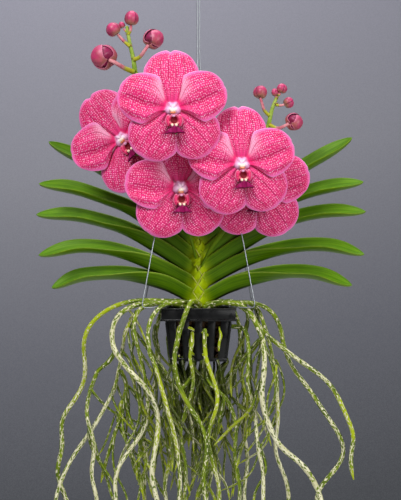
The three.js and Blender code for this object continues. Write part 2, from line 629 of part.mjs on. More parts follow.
// ---- aerial roots ------------------------------------------------------------------------
// Each root starts at the crown or in the bark.  A fork starts inside the root that it grows
// from.  The routes are then pushed apart, mostly in depth, so that no root cuts through another.
const roots = {
  root_left_1: {
    radius: 2.5,
    route: [
      [-6.7, -2.3, 3], [-22, -8, 6], [-38, -11, 7], [-60, -12, 8], [-80, -11, 6], [-100, -10, -2],
      [-118, -8, -17], [-127, -8, -36], [-124, -5, -62], [-125, -4, -84], [-138, -4, -105],
      [-152, -4, -124], [-148, -4, -154], [-157, -4, -180], [-146, -4, -208], [-138, -5, -236],
      [-142, -6, -262],
    ],
  },
  root_left_2: {
    radius: 2.7,
    route: [
      [-4.1, -6.8, 4], [-20, -17, 5], [-41, -22, 5], [-62, -23, 5], [-80, -26, 0], [-91, -29, -12],
      [-95, -31, -26], [-92, -34, -42], [-80, -40, -61], [-62, -47, -78], [-48, -51, -96],
      [-42, -52, -120], [-46, -52, -149], [-51, -52, -178], [-44, -52, -204], [-40, -50, -236],
      [-46, -49, -268], [-40, -48, -300],
    ],
    forks: [{
      radius: 2.2,
      route: [
        [-89, -35, -46], [-97, -30, -58], [-110, -24, -70], [-118, -21, -92], [-123, -20, -116],
        [-112, -20, -150], [-118, -20, -182], [-109, -20, -209], [-112, -21, -240], [-106, -22, -262],
      ],
    }],
  },
  root_left_3: {
    radius: 2.2,
    route: [
      [-6.5, 3.2, 3], [-22, 0, 4], [-42, -6, 4.5], [-58, -13, 3], [-71, -16, -6], [-77, -16, -22],
      [-83, -16, -42], [-85, -14, -68], [-97, -12, -98], [-114, -12, -130], [-138, -12, -164],
      [-152, -14, -194], [-158, -14, -222], [-152, -14, -244],
    ],
    forks: [{
      radius: 2.1,
      route: [
        [-85, -14, -68], [-79, -9, -86], [-84, -5, -107], [-92, -4, -140], [-102, -4, -170],
        [-107, -4, -193],
      ],
    }],
  },
  root_left_4: {
    radius: 2.3,
    route: [
      [-4, -6.8, -2.4], [-18, -22, 1.6], [-38, -32, 6], [-54, -35, 6], [-66, -35, 0], [-71, -38, -16],
      [-66, -42, -38], [-58, -43, -70], [-55, -39, -98], [-55, -36, -125], [-72, -36, -150],
      [-91, -36, -180], [-88, -36, -208], [-92, -36, -240],
    ],
  },
  root_left_5: {
    radius: 2.3,
    route: [
      [0.4, -9.4, -3], [-6, -22, 4], [-20, -38, 7], [-34, -44, 7], [-44, -49, 2], [-52, -52, -12],
      [-56, -54, -27], [-47, -59, -54], [-40, -60, -82], [-33, -60, -106], [-24, -60, -141],
      [-19, -60, -185], [-22, -58, -214], [-16, -56, -250],
    ],
  },
  root_front_left: {
    radius: 2.6,
    route: [
      [1.8, -9, 3.2], [-2, -26, 6.5], [-8, -41, 6.5], [-13, -49.5, -2], [-19, -51, -20], [-25, -50, -44],
      [-28, -49, -66], [-20, -48, -86], [-8, -50, -108], [4, -50, -124], [10, -50, -150], [4, -50, -184],
      [10, -49, -214], [4, -48, -246],
    ],
  },
  root_front_bark_left: {
    radius: 1.9,
    route: [
      [-6.8, -30, -26], [-6.8, -35, -29], [-6.8, -41, -37], [-9, -43, -54], [-4, -42, -74],
      [-12, -40, -104], [-20, -40, -138], [-12, -41, -172], [-16, -42, -204], [-10, -42, -230],
    ],
  },
  root_front_bark_right: {
    radius: 2.2,
    route: [
      [6.8, -30.2, -23], [6.8, -36, -27], [6.6, -42.5, -37], [9, -45, -58], [16, -46, -76], [22, -46, -92],
      [20, -46, -108], [9, -46, -136], [16, -46, -168], [24, -46, -200], [18, -46, -230], [24, -46, -262],
    ],
  },
  root_right_1: {
    radius: 2.5,
    route: [
      [6.6, -2.6, 2.4], [21, -12, 5], [38, -20, 6], [54, -22, -3], [68, -20, -24], [90, -16, -43],
      [114, -12, -61], [141, -8, -80], [153, -8, -98], [163, -8, -122], [172, -8, -142], [165, -8, -165],
      [170, -8, -189],
    ],
  },
  root_right_2: {
    radius: 2.5,
    route: [
      [6.6, 2.8, 3], [24, 0, 5], [44, -6, 5], [66, -7, 5], [82, -4, -5], [91, -1, -22], [93, 2, -42],
      [103, 2, -67], [122, 4, -90], [137, 4, -114], [158, 4, -145], [162, 4, -164], [143, 4, -188],
      [128, 4, -209], [134, 4, -236], [124, 4, -262],
    ],
  },
  root_right_3: {
    radius: 2.2,
    route: [
      [4.2, 6.8, 3], [22, 12, 5], [44, 9, 5], [62, 5, 4], [71, 6, -12], [74, 4, -34], [85, 0, -59],
      [86, -2, -96], [88, -2, -126], [83, -2, -158], [96, -2, -188], [100, -2, -214], [94, -2, -240],
    ],
  },
  root_right_4: {
    radius: 2.8,
    route: [
      [4.8, -6.5, -2.2], [20, -24, 4], [35, -36, 6], [47, -41, 5.6], [57, -46, -5], [64, -50, -20],
      [70, -53, -38], [70, -54, -66], [65, -54, -92], [73, -54, -118], [86, -51, -147],
      [113, -47, -168], [129, -44, -196], [134, -44, -214], [128, -43, -244],
    ],
  },
  root_right_bark: {
    radius: 2.1,
    route: [
      [30.8, -21.1, -20], [38, -21.1, -20.4], [46.5, -21.8, -21.6], [52, -32, -28], [55, -47, -46],
      [52, -46, -68], [54, -44, -90], [62, -44, -112], [62, -44, -142], [70, -44, -176],
      [69, -44, -208], [74, -44, -244],
    ],
  },
  root_base_left: {
    radius: 2.2,
    route: [
      [-6.1, -16, -54], [-6.1, -16, -62], [-6.6, -16, -71], [-14, -20, -84], [-30, -24, -98],
      [-36, -26, -126], [-28, -24, -158], [-38, -22, -192], [-32, -22, -226], [-38, -22, -262],
    ],
    forks: [{
      radius: 1.9,
      route: [[-31, -24, -100], [-48, -20, -116], [-62, -16, -142], [-66, -14, -176], [-60, -12, -208]],
    }],
  },
  root_base_right: {
    radius: 2.2,
    route: [
      [6.1, -16, -54], [6.1, -16, -62], [6.6, -16, -71], [14, -20, -84], [30, -26, -98],
      [42, -28, -128], [38, -26, -160], [46, -24, -194], [42, -24, -230], [48, -22, -276],
    ],
    forks: [{
      radius: 1.9,
      route: [
        [28, -26, -96], [24, -22, -118], [14, -16, -146], [16, -12, -178], [8, -12, -208],
        [12, -10, -240],
      ],
    }],
  },
  root_back_left: {
    radius: 2.3,
    route: [
      [-3.4, 7, 2], [-16, 24, 5], [-30, 38, 5], [-44, 48, -8], [-50, 50, -30], [-44, 46, -62],
      [-52, 38, -98], [-64, 30, -132], [-56, 24, -168], [-62, 20, -206], [-54, 18, -240],
    ],
    forks: [{
      radius: 2,
      route: [
        [-45, 46, -64], [-32, 42, -84], [-24, 34, -114], [-28, 26, -150], [-20, 20, -188],
        [-24, 16, -226],
      ],
    }],
  },
  root_back_right: {
    radius: 2.3,
    route: [
      [0.8, 9.3, -2.8], [15, 26, 4], [30, 39, 5], [42, 48, -8], [48, 52, -32], [44, 48, -64], [54, 40, -100],
      [48, 34, -134], [56, 28, -170], [50, 22, -206], [56, 20, -250],
    ],
    forks: [{
      radius: 2,
      route: [[45, 48, -66], [30, 44, -84], [18, 34, -112], [10, 26, -150], [4, 20, -190], [0, 16, -222]],
    }],
  },
};

// The first points of a root, or the first one of a fork, are held where they are.
function pathOf(node, { radius, route }, fork) {
  const points = perLength(route.map(vector), RELAX_STEP);
  return { node, radius, held: fork ? 1 : HELD_START, points };
}

const paths = Object.entries(roots).flatMap(([node, root]) => [
  pathOf(node, root, false),
  ...(root.forks ?? []).map((fork) => pathOf(node, fork, true)),
]);

// Two points of different roots that are too near are moved away from each other.
function pushApart(first, second) {
  for (let i = 0; i < first.points.length; i += 1) {
    for (let j = 0; j < second.points.length; j += 1) {
      const away = first.points[i].clone().sub(second.points[j]);
      const room = first.radius + second.radius + ROOT_CLEARANCE;
      const lacking = Math.hypot(room, RELAX_STEP / 2) - away.length();
      if (lacking > 0) {
        away.set(away.x * PUSH_SHARE, away.y || 0.1, away.z * PUSH_SHARE);
        away.setLength(lacking * PUSH_SHARE);
        if (i >= first.held) first.points[i].add(away);
        if (j >= second.held) second.points[j].sub(away);
      }
    }
  }
}

// Roots lie on the rim and outside the walls and the floor of the basket.
function keepOffBasket({ points, radius, held }) {
  points.slice(held).forEach((point) => {
    const reach = Math.max(Math.abs(point.x), Math.abs(point.y));
    const clear = radius + 1.2;
    if (point.z > -4 && reach < RIM_HALF + clear) {
      point.z = Math.max(point.z, clear);
    } else if (point.z > -BASKET_DEPTH - clear && point.z < 0 && reach > RIM_INNER_HALF - 8) {
      const wall = (point.z > -RIM_HEIGHT - clear ? RIM_HALF : wallHalf(point.z)) + clear;
      const axis = Math.abs(point.x) > Math.abs(point.y) ? 'x' : 'y';
      point[axis] = Math.sign(point[axis]) * Math.max(reach, wall);
    }
  });
}

// A little of the kink that pushing leaves is evened out again.
function ease({ points, held }) {
  const before = points.map((point) => point.clone());
  for (let i = held; i < points.length - 1; i += 1) {
    const middle = before[i - 1].clone().add(before[i + 1]).multiplyScalar(0.5);
    points[i].lerp(middle, EASE_SHARE);
  }
}

for (let round = 0; round < RELAX_ROUNDS; round += 1) {
  for (const first of paths) {
    for (const second of paths) {
      if (first.node < second.node) pushApart(first, second);
    }
  }
  const settling = round >= RELAX_ROUNDS - SETTLING_ROUNDS;
  if (!settling && (round + 1) % EASE_EVERY === 0) paths.forEach(ease);
  paths.forEach(keepOffBasket);
}

Object.keys(roots).forEach((name) => {
  const own = paths.filter((path) => path.node === name);
  const strands = own.map(({ points, radius }) => {
    return strand(perLength(points, ROOT_STEP), rootRadius(radius));
  });
  add(name, joined(strands), 'root');
});

export default orchid;
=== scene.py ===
"""A vanda orchid in a hanging slatted basket, before a grey studio wall and over a pale floor.

The plant is drawn in its own millimetres: the origin is the middle of the basket's rim, x runs
to the right, y away from the viewer and z up.  Each piece is carried to the shared frame, in
metres, when it is finished.
"""

import math
import random

import bmesh
import bpy
from mathutils import Matrix, Vector, kdtree, noise
from mathutils.geometry import interpolate_bezier


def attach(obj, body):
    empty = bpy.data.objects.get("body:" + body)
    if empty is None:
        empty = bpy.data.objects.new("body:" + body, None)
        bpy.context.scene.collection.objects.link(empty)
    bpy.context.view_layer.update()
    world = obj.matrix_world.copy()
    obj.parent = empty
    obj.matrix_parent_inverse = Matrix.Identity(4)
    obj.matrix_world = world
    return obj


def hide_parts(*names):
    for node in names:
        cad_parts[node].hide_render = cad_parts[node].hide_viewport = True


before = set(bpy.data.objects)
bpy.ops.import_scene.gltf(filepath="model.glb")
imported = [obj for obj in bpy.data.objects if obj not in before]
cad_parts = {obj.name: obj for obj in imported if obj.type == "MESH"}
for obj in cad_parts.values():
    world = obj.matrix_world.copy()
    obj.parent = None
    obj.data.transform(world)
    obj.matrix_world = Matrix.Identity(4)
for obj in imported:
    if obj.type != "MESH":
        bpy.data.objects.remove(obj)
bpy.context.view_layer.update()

MM = 0.001
RIM_BELOW_HOOK = 387
TO_FRAME = Matrix.Scale(MM, 4) @ Matrix.Translation((0, 0, -RIM_BELOW_HOOK))


# ---- shapes ----------------------------------------------------------------------------------
def mix(start, end, share):
    return start + (end - start) * share


def rise(low, high, value):
    """0 below low, 1 above high and a smooth rise between them."""
    share = min(max((value - low) / (high - low), 0), 1)
    return share * share * (3 - 2 * share)


def sheet(columns, rows, place):
    """A grid laid out by place(u, v), u and v from 0 to 1.

    place gives a point, where that point lies on the pattern in mm, and its marks, which are
    numbers that the finish reads."""
    bm = bmesh.new()
    pattern = bm.loops.layers.uv.new("UVMap")
    bmesh.ops.create_grid(bm, x_segments=columns, y_segments=rows, size=0.5)
    placed = [place(vert.co.x + 0.5, vert.co.y + 0.5) for vert in bm.verts]
    layers = {name: bm.verts.layers.float.new(name) for name in placed[0][2]}
    bm.verts.index_update()
    for face in bm.faces:
        for loop in face.loops:
            loop[pattern].uv = Vector(placed[loop.vert.index][1]) * MM
    for vert, (point, _, marks) in zip(bm.verts, placed):
        vert.co = point
        for name, value in marks.items():
            vert[layers[name]] = value
    return bm


def marked(bm, **marks):
    """The same marks on a whole shape."""
    for name, value in marks.items():
        layer = bm.verts.layers.float.new(name)
        for vert in bm.verts:
            vert[layer] = value
    return bm


def weld(bm, gap=0.01):
    """Joins the points that meet, and turns the faces outwards."""
    bmesh.ops.remove_doubles(bm, verts=bm.verts, dist=gap)
    bmesh.ops.recalc_face_normals(bm, faces=bm.faces)
    return bm


def thicken(bm, thickness):
    weld(bm)
    bmesh.ops.solidify(bm, geom=bm.faces[:], thickness=thickness)
    return bm


def smooth_line(points, step):
    """Points about a step apart on a smooth line through the given ones."""
    knots = [Vector(point) for point in points]
    knots = [2 * knots[0] - knots[1], *knots, 2 * knots[-1] - knots[-2]]
    fine = []
    for before, start, end, after in zip(knots, knots[1:], knots[2:], knots[3:]):
        reach = (end - start).length / 3
        out = start + (end - before).normalized() * reach
        back = end - (after - start).normalized() * reach
        fine += interpolate_bezier(start, out, back, end, 12)[:-1]
    return respaced(fine + [knots[-2]], step)


def flow(points, way):
    """A point on the smooth curve through points, way running from 0 to the last one's index."""
    index = min(int(way), len(points) - 2)
    share = way - index
    before, start = points[max(index - 1, 0)], points[index]
    end, after = points[index + 1], points[min(index + 2, len(points) - 1)]
    return 0.5 * (2 * start + (end - before) * share
                  + (2 * before - 5 * start + 4 * end - after) * share ** 2
                  + (3 * start - before - 3 * end + after) * share ** 3)


def respaced(line, step):
    lengths = [0]
    for start, end in zip(line, line[1:]):
        lengths.append(lengths[-1] + (end - start).length)
    count = max(2, round(lengths[-1] / step))
    spaced, span = [], 0
    for index in range(count + 1):
        target = lengths[-1] * index / count
        while span < len(line) - 2 and lengths[span + 1] < target:
            span += 1
        share = (target - lengths[span]) / max(lengths[span + 1] - lengths[span], 1e-6)
        spaced.append(line[span].lerp(line[span + 1], share))
    return spaced


def carried_across(line):
    """Two directions across each point of a line, carried along it without twisting."""
    across, frames = Vector((0, 1, 0)), []
    for index in range(len(line)):
        ahead = (line[min(index + 1, len(line) - 1)] - line[max(index - 1, 0)]).normalized()
        if abs(across.dot(ahead)) > 0.95:
            across = ahead.orthogonal()
        across = (across - ahead * across.dot(ahead)).normalized()
        frames.append((ahead, across, ahead.cross(across)))
    return frames


def tube(line, radius, sides=8, marks=lambda share: {}, ribs=lambda angle, share: 1):
    """A round strand with round ends.  radius, ribs and marks depend on the way along.

    Its pattern counts turns round the strand, and mm along it."""
    frames = carried_across(line)
    last = len(line) - 1

    def cap(end, way):
        size = radius(end / last)
        return [(line[end] + frames[end][0] * way * size * depth, end, factor)
                for depth, factor in ((0, 0), (0.15, 0.55), (0.5, 0.87))]

    rings = [*cap(0, 1), *((line[index], index, 1) for index in range(1, last)),
             *reversed(cap(last, -1))]
    distance = [0]
    for (start, _, _), (end, _, _) in zip(rings, rings[1:]):
        distance.append(distance[-1] + (end - start).length)

    def place(u, v):
        ring = round(v * (len(rings) - 1))
        centre, index, factor = rings[ring]
        share = index / last
        angle = math.tau * u
        _, across, beside = frames[index]
        size = radius(share) * factor * ribs(angle, share)
        offset = across * math.cos(angle) * size + beside * math.sin(angle) * size
        return centre + offset, (u / MM, distance[ring]), marks(share)

    return weld(sheet(sides, len(rings) - 1, place))


def even(value):
    return lambda share: value


def together(parts):
    """Several shapes as one."""
    whole = bmesh.new()
    for part in parts:
        mesh = bpy.data.meshes.new("part")
        part.to_mesh(mesh)
        part.free()
        whole.from_mesh(mesh)
        bpy.data.meshes.remove(mesh)
    return whole


def block(low, high, bevel=0.8):
    """A box between two corners, with eased edges."""
    bm = bmesh.new()
    size = [top - bottom for bottom, top in zip(low, high)]
    middle = [(top + bottom) / 2 for bottom, top in zip(low, high)]
    matrix = Matrix.Translation(middle) @ Matrix.Diagonal((*size, 1))
    bmesh.ops.create_cube(bm, size=1, matrix=matrix)
    bmesh.ops.bevel(bm, geom=bm.edges[:], offset=bevel, affect="EDGES", segments=2,
                    profile=0.5, material=-1)
    return bm


def ball(centre, size, columns=20, rows=14, shape=None):
    """A round body, each point of the unit ball moved by shape before it is sized."""
    bm = bmesh.new()
    bmesh.ops.create_uvsphere(bm, u_segments=columns, v_segments=rows, radius=1)
    for vert in bm.verts:
        point = shape(vert.co.copy()) if shape else vert.co
        vert.co = Vector(centre) + Vector(a * b for a, b in zip(point, size))
    return bm


def add_object(name, data):
    made = bpy.data.objects.new(name, data)
    bpy.context.scene.collection.objects.link(made)
    return made


def add_shape(name, bm, finish, smooth):
    mesh = bpy.data.meshes.new(name)
    bm.to_mesh(mesh)
    bm.free()
    if smooth:
        mesh.shade_smooth()
    mesh.materials.append(finish)
    return add_object(name, mesh)


def piece(name, bm, finish, slot, node, smooth=True):
    """Carries a shape to the shared frame as a finished piece of the plant."""
    bm.transform(TO_FRAME)
    made = add_shape(name, bm, finish, smooth)
    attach(made, "root")
    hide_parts(node)


# ---- finishes --------------------------------------------------------------------------------
SMOOTH = {"interpolation_type": "SMOOTHSTEP"}
TIMES = {"operation": "MULTIPLY"}
MINUS = {"operation": "SUBTRACT"}


def colour(code):
    """An sRGB hex colour as the linear one that a shader takes."""
    levels = [int(code[index:index + 2], 16) / 255 for index in (1, 3, 5)]
    linear = [x / 12.92 if x <= 0.04045 else ((x + 0.055) / 1.055) ** 2.4 for x in levels]
    return (*linear, 1)


def per_metre(size):
    """How often a pattern of this size in mm comes in a metre."""
    return 1 / (size * MM)


class Finish:
    """A material and its nodes."""

    def __init__(self, name):
        self.material = bpy.data.materials.new(name)
        self.material.use_nodes = True
        self.tree = self.material.node_tree
        self.tree.nodes.clear()

    def node(self, kind, *values, output=0, stops=(), **settings):
        """Adds a node with its settings and links, and gives one of its outputs.

        The values go to its inputs in order, or one dict says which goes where.  A value is a
        number, another node's output, a hex colour or the name of one of the piece's marks."""
        made = self.tree.nodes.new("ShaderNode" + kind)
        for name, value in settings.items():
            setattr(made, name, value)
        by_order = not (values and isinstance(values[0], dict))
        for name, value in (dict(enumerate(values)) if by_order else values[0]).items():
            if isinstance(value, str):
                value = (colour(value) if value.startswith("#") else
                         self.node("Attribute", attribute_name=value, output="Fac"))
            if isinstance(value, bpy.types.NodeSocket):
                self.tree.links.new(value, made.inputs[name])
            else:
                made.inputs[name].default_value = value
        if stops:
            ramp = made.color_ramp.elements
            while len(ramp) < len(stops):
                ramp.new(1)
            for element, (position, shade) in zip(ramp, stops):
                element.position, element.color = position, colour(shade)
        return made.outputs[output] if len(made.outputs) else made

    def painted(self, ground, *coats):
        """Lays coats over a ground, one after another.

        A coat is how much it covers and its colour, then the values between which the cover
        rises smoothly from 0 to 1, if it does, and what it rises from and to, if not that."""
        for cover, shade, *rising in coats:
            if rising:
                cover = self.node("MapRange", cover, *rising, **SMOOTH)
            ground = self.node("Mix", {0: cover, 6: ground, 7: shade}, data_type="RGBA", output=2)
        return ground

    def done(self, ground, bumps=None, **surface):
        """The finished material.  bumps are a height and how deep it goes, in mm."""
        values = {name.replace("_", " ").title().replace("Ior", "IOR"): value
                  for name, value in surface.items()}
        values["Base Color"] = ground
        if bumps:
            height, depth = bumps
            values["Normal"] = self.node("Bump", {"Height": height, "Distance": depth * MM,
                                                  "Strength": 1})
        self.node("OutputMaterial", {"Surface": self.node("BsdfPrincipled", values)})
        return self.material


def petal_tissue():
    """Living vanda petal: velvety cells, a net of deep pink veins round rows of pale dashes, a
    plain lilac-pink margin with a thin light rim, and a flush of white towards the column."""
    look = Finish("vanda_petal_tissue")
    pattern = look.node("UVMap", uv_map="UVMap")
    drift = look.node("TexNoise", {"Vector": pattern, "Scale": per_metre(12), "Detail": 2},
                      output="Color")
    bent = look.node("VectorMath", {0: drift, "Scale": 3.0 * MM}, operation="SCALE")
    laid = look.node("VectorMath", pattern, bent, operation="ADD")
    # the dashes lie 2.7 by 2.3 mm apart, a little coarser than life, so that they show
    rows = look.node("VectorMath", laid, (per_metre(2.7), per_metre(2.3), 1), **TIMES)
    scattered = {"Vector": rows, "Scale": 1, "Randomness": 0.5}
    cell = look.node("TexVoronoi", scattered, voronoi_dimensions="2D")
    chance = look.node("SeparateColor", cell.node.outputs["Color"])
    edge = look.node("TexVoronoi", scattered, voronoi_dimensions="2D", feature="DISTANCE_TO_EDGE")
    across = look.node("Math", look.node("SeparateXYZ", laid), per_metre(4.6), **TIMES)
    streak = look.node("Math", across, 1, operation="PINGPONG")
    cloud = look.node("TexNoise", {"Vector": pattern, "Scale": per_metre(14), "Detail": 3})
    bright = look.node("Math", look.node("MapRange", chance, 0, 0.9, 0.35, 1, **SMOOTH),
                       look.node("MapRange", cloud, 0.25, 0.6, 0.55, 1, **SMOOTH), **TIMES)
    dots = look.node("Math", look.node("MapRange", cell, 0.12, 0.36, 1, 0, **SMOOTH), bright,
                     **TIMES)
    dots = look.node("Math", dots, "dots", **TIMES)
    net = look.node("Math", look.node("MapRange", edge, 0, 0.13, 1, 0, **SMOOTH), "dots", **TIMES)
    veins = look.node("Math", look.node("MapRange", streak, 0.74, 1, **SMOOTH), "veins", **TIMES)
    # the shade coat is painted shadow: deep crimson on the lateral sepals' inner halves near the middle,
    # where the lip shades them
    ground = look.painted(
        "#CE1660", (cloud, "#DE2E78", 0.3, 0.7),
        (look.node("Math", 1, "dots", **MINUS), "#E64C94"),
        ("blotch", "#DE1B6A"), ("flush", "#FACBE6"), ("shade", "#7E0434"),
        (look.node("Math", net, 0.55, **TIMES), "#C4145C"),
        (look.node("Math", veins, 0.75, **TIMES), "#A80C4A"),
        ("rim", "#E47ABA", 0.2, 5, 0.6, 0),
        (look.node("Math", dots, 0.9, **TIMES), "#FFBEDD"),
        ("rim", "#F2B4DC", 0, 0.8, 0.75, 0))
    height = look.node("Math", dots, look.node("Math", veins, 1.2, **TIMES), **MINUS)
    return look.done(ground, (height, 0.16), roughness=0.6, specular_ior_level=0.25,
                     sheen_weight=0.08, sheen_roughness=0.4, subsurface_weight=0.08,
                     subsurface_radius=(1.0, 0.35, 0.45), subsurface_scale=1.2 * MM)


def column_tissue():
    """Living column: smooth, waxy and almost white, with a breath of lilac towards its edge."""
    look = Finish("vanda_column_tissue")
    place = look.node("TexCoord", output="Object")
    cloud = look.node("TexNoise", {"Vector": place, "Scale": per_metre(3), "Detail": 3})
    ground = look.painted("#F6DEEA", (cloud, "#EEC2DA", 0.35, 0.7), ("blush", "#E08EC4"))
    return look.done(ground, (cloud, 0.25), roughness=0.45, specular_ior_level=0.3,
                     subsurface_weight=0.1, subsurface_radius=(1.0, 0.6, 0.7),
                     subsurface_scale=1.2 * MM)


def anther_cap_wax():
    """Anther cap: cream wax, with an orange band along its lower lip."""
    look = Finish("anther_cap_wax")
    place = look.node("TexCoord", output="Object")
    speck = look.node("TexVoronoi", {"Vector": place, "Scale": per_metre(1.9)})
    band = look.node("Math", "band", look.node("MapRange", speck, 0.2, 0.7, 1, 0.75, **SMOOTH),
                     **TIMES)
    return look.done(look.painted("#F2E4D0", (band, "#D86018")), (speck, 0.1), roughness=0.45,
                     specular_ior_level=0.3)


def lip_velvet():
    """Lip: deep magenta velvet with faint lengthwise ridges, painted shade in its hollows and a painted
    highlight on top.
    """
    look = Finish("vanda_lip_velvet")
    pattern = look.node("UVMap", uv_map="UVMap")
    long = look.node("VectorMath", pattern, (1, 0.2, 1), **TIMES)
    ridges = look.node("TexNoise", {"Vector": long, "Scale": per_metre(2.2), "Detail": 2})
    # edge is a painted highlight along the top edge and in two bands; hollow is painted shade beside the
    # keel, at the tips and under the lower edge
    ground = look.painted(
        "#740640", (ridges, "#900E50", 0.35, 0.65),
        ("edge", "#B84482"), ("hollow", "#480222"))
    return look.done(ground, (ridges, 0.15), roughness=0.75, specular_ior_level=0.08)


def lip_throat():
    """Side lobes and throat: rosy with pale rims, painted shade of dark maroon in the hollow, with cream
    bumps.
    """
    look = Finish("vanda_lip_throat")
    place = look.node("TexCoord", output="Object")
    speck = look.node("TexVoronoi", {"Vector": place, "Scale": per_metre(1.6)})
    # the deep coat is painted shade: dark maroon down in the throat and on the lobes' inner sides
    ground = look.painted(
        "#CC1650", (speck, "#E03C72", 0.2, 0.6),
        ("deep", "#700A1C"), ("pale", "#F2A8C6"), ("cream", "#FCE2C8"))
    return look.done(ground, (speck, 0.08), roughness=0.5, specular_ior_level=0.15)


def leaf_cuticle():
    """Strap leaf: a smooth satin cuticle over long soft veins, yellow-green where it clasps the
    stem, mid green on its upper face and more olive underneath."""
    look = Finish("strap_leaf_cuticle")
    pattern = look.node("UVMap", uv_map="UVMap")
    place = look.node("TexCoord", output="Object")
    long = look.node("VectorMath", pattern, (per_metre(1.9), per_metre(75), 1), **TIMES)
    veins = look.node("TexNoise", {"Vector": long, "Scale": 1, "Detail": 3, "Roughness": 0.55})
    cloud = look.node("TexNoise", {"Vector": place, "Scale": per_metre(34), "Detail": 3})
    streaks = look.node("MapRange", veins, 0.3, 0.7, **SMOOTH)
    lit = look.node("Math", "lit", "upper", use_clamp=True, **MINUS)
    # the near-black coat by the keel is painted shade for the dark gaps between the leaves
    ground = look.painted(
        look.painted("#395800", (streaks, "#547800")),
        ("upper", look.painted("#456E02", (streaks, "#628C0C"))), (lit, "#7E9C08"),
        (cloud, "#335602", 0.4, 0.75, 0, 0.45),
        ("fold", "#0C1400"), ("young", "#A2B800"), ("margin", "#A9B850"))
    return look.done(ground, (veins, 0.15), roughness=0.48, specular_ior_level=0.13)


def stem_skin():
    """Stem foot: yellow-green skin that dries to brown fibre at the bottom."""
    look = Finish("stem_skin")
    place = look.node("TexCoord", output="Object")
    fibre = look.node("VectorMath", place, (per_metre(1.2), per_metre(1.2), per_metre(14)),
                      **TIMES)
    grain = look.node("TexNoise", {"Vector": fibre, "Scale": 1, "Detail": 4})
    ground = look.painted(
        "#94A800", ("dry", "#6E4526"), ("seam", "#B9BC58"),
        (grain, "#5C6408", 0.4, 0.8, 0, 0.3))
    return look.done(ground, (grain, 0.2), roughness=0.6, specular_ior_level=0.25)


def stalk_skin():
    """Flower stalks: tender smooth skin, green on the spike and rosy near each flower or bud."""
    look = Finish("flower_stalk_skin")
    place = look.node("TexCoord", output="Object")
    cloud = look.node("TexNoise", {"Vector": place, "Scale": per_metre(6), "Detail": 3})
    # the deep coat is painted shade: darker green at the foot of each spike and on the lip's spur
    green = look.painted("#76982E", (cloud, "#96B448", 0.3, 0.7), ("deep", "#587404"))
    rosy = look.painted("#B8606E", (cloud, "#D08C90", 0.35, 0.65))
    ground = look.painted(green, ("rosy", rosy), ("yellow", "#A8A62C"), ("scale", "#906048"))
    return look.done(ground, (cloud, 0.15), roughness=0.5, specular_ior_level=0.15)


def bud_skin():
    """Buds: tight satin skin, dusky rose with darker lengthwise veins and green-brown round the stalk, with
    painted shade along the seams between the sepals and where the inner petals show."""
    look = Finish("bud_skin")
    place = look.node("TexCoord", output="Object")
    pattern = look.node("UVMap", uv_map="UVMap")
    cloud = look.node("TexNoise", {"Vector": place, "Scale": per_metre(5), "Detail": 4})
    long = look.node("VectorMath", pattern, (per_metre(1.6), per_metre(14), 1), **TIMES)
    veins = look.node("TexNoise", {"Vector": long, "Scale": 1, "Detail": 2})
    # dark is painted shade along the sepals' seams and in the opening
    # rim is a painted highlight along the edges of sepals that part
    ground = look.painted(
        "#B02C5C", (cloud, "#A04A56", 0.40, 0.7),
        ("pink", "#C83A72"),
        (veins, "#8E1E48", 0.45, 0.7, 0, 0.5),
        ("green", "#A2865A"), ("dark", "#6E0C3C"), ("rim", "#D87C9E"))
    return look.done(ground, (veins, 0.2), roughness=0.42, specular_ior_level=0.4,
                     sheen_weight=0.06)


def root_velamen():
    """Aerial roots: spongy felt that is silvery cream where dry and lets the green show where
    thin, broken into short lengthwise flecks; growing tips are smooth yellow-green."""
    look = Finish("root_velamen")
    turns = look.node("SeparateXYZ", look.node("UVMap", uv_map="UVMap"))
    along = turns.node.outputs["Y"]
    angle = look.node("Math", turns, math.tau, **TIMES)
    ring = [look.node("Math", look.node("Math", angle, operation=way), 2.3 * MM, **TIMES)
            for way in ("COSINE", "SINE")]
    felt, wide = (look.node("CombineXYZ", *ring, look.node("Math", along, squeeze, **TIMES))
                  for squeeze in (0.40, 0.10))
    # the flecks are 1.45 mm wide, a little coarser than life, so that they show
    fleck = look.node("TexNoise", {"Vector": felt, "Scale": per_metre(1.45), "Detail": 1.1,
                                   "Roughness": 0.55})
    patch = look.node("TexNoise", {"Vector": wide, "Scale": per_metre(2.4), "Detail": 2})
    patches = look.node("MapRange", patch, 0.3, 0.7, **SMOOTH)
    # the drier the felt, the lower the level above which it hides the green
    level = look.node("MapRange", "dry", 0, 1, 0.59, 0.395, **SMOOTH)
    above = look.node("Math", fleck, level, **MINUS)
    pale = look.node("Clamp", look.node("Math", above, 17, **TIMES))
    # the dark olive coat is painted shade on the thin roots inside the mass
    ground = look.painted(
        "#425604", (patches, "#7C9014"), ("fresh", "#A4B210"),
        (pale, look.painted("#E2DEBC", (patches, "#C2BE92"))), ("damp", "#2A3010"))
    height = look.node("Math", fleck, pale, operation="ADD")
    return look.done(ground, (height, 0.25), roughness=0.7, specular_ior_level=0.25)


def black_polypropylene():
    """Moulded polypropylene: near black, satin, with fine scuffs and a grey bloom of dust."""
    look = Finish("moulded_polypropylene")
    place = look.node("TexCoord", output="Object")
    dust = look.node("TexNoise", {"Vector": place, "Scale": per_metre(9), "Detail": 5})
    grit = look.node("TexNoise", {"Vector": place, "Scale": per_metre(0.8), "Detail": 2})
    ground = look.painted("#030303", (dust, "#0E0E0D", 0.45, 0.8))
    return look.done(ground, (grit, 0.05), specular_ior_level=0.4,
                     roughness=look.node("MapRange", dust, 0.3, 0.7, 0.24, 0.4, **SMOOTH))


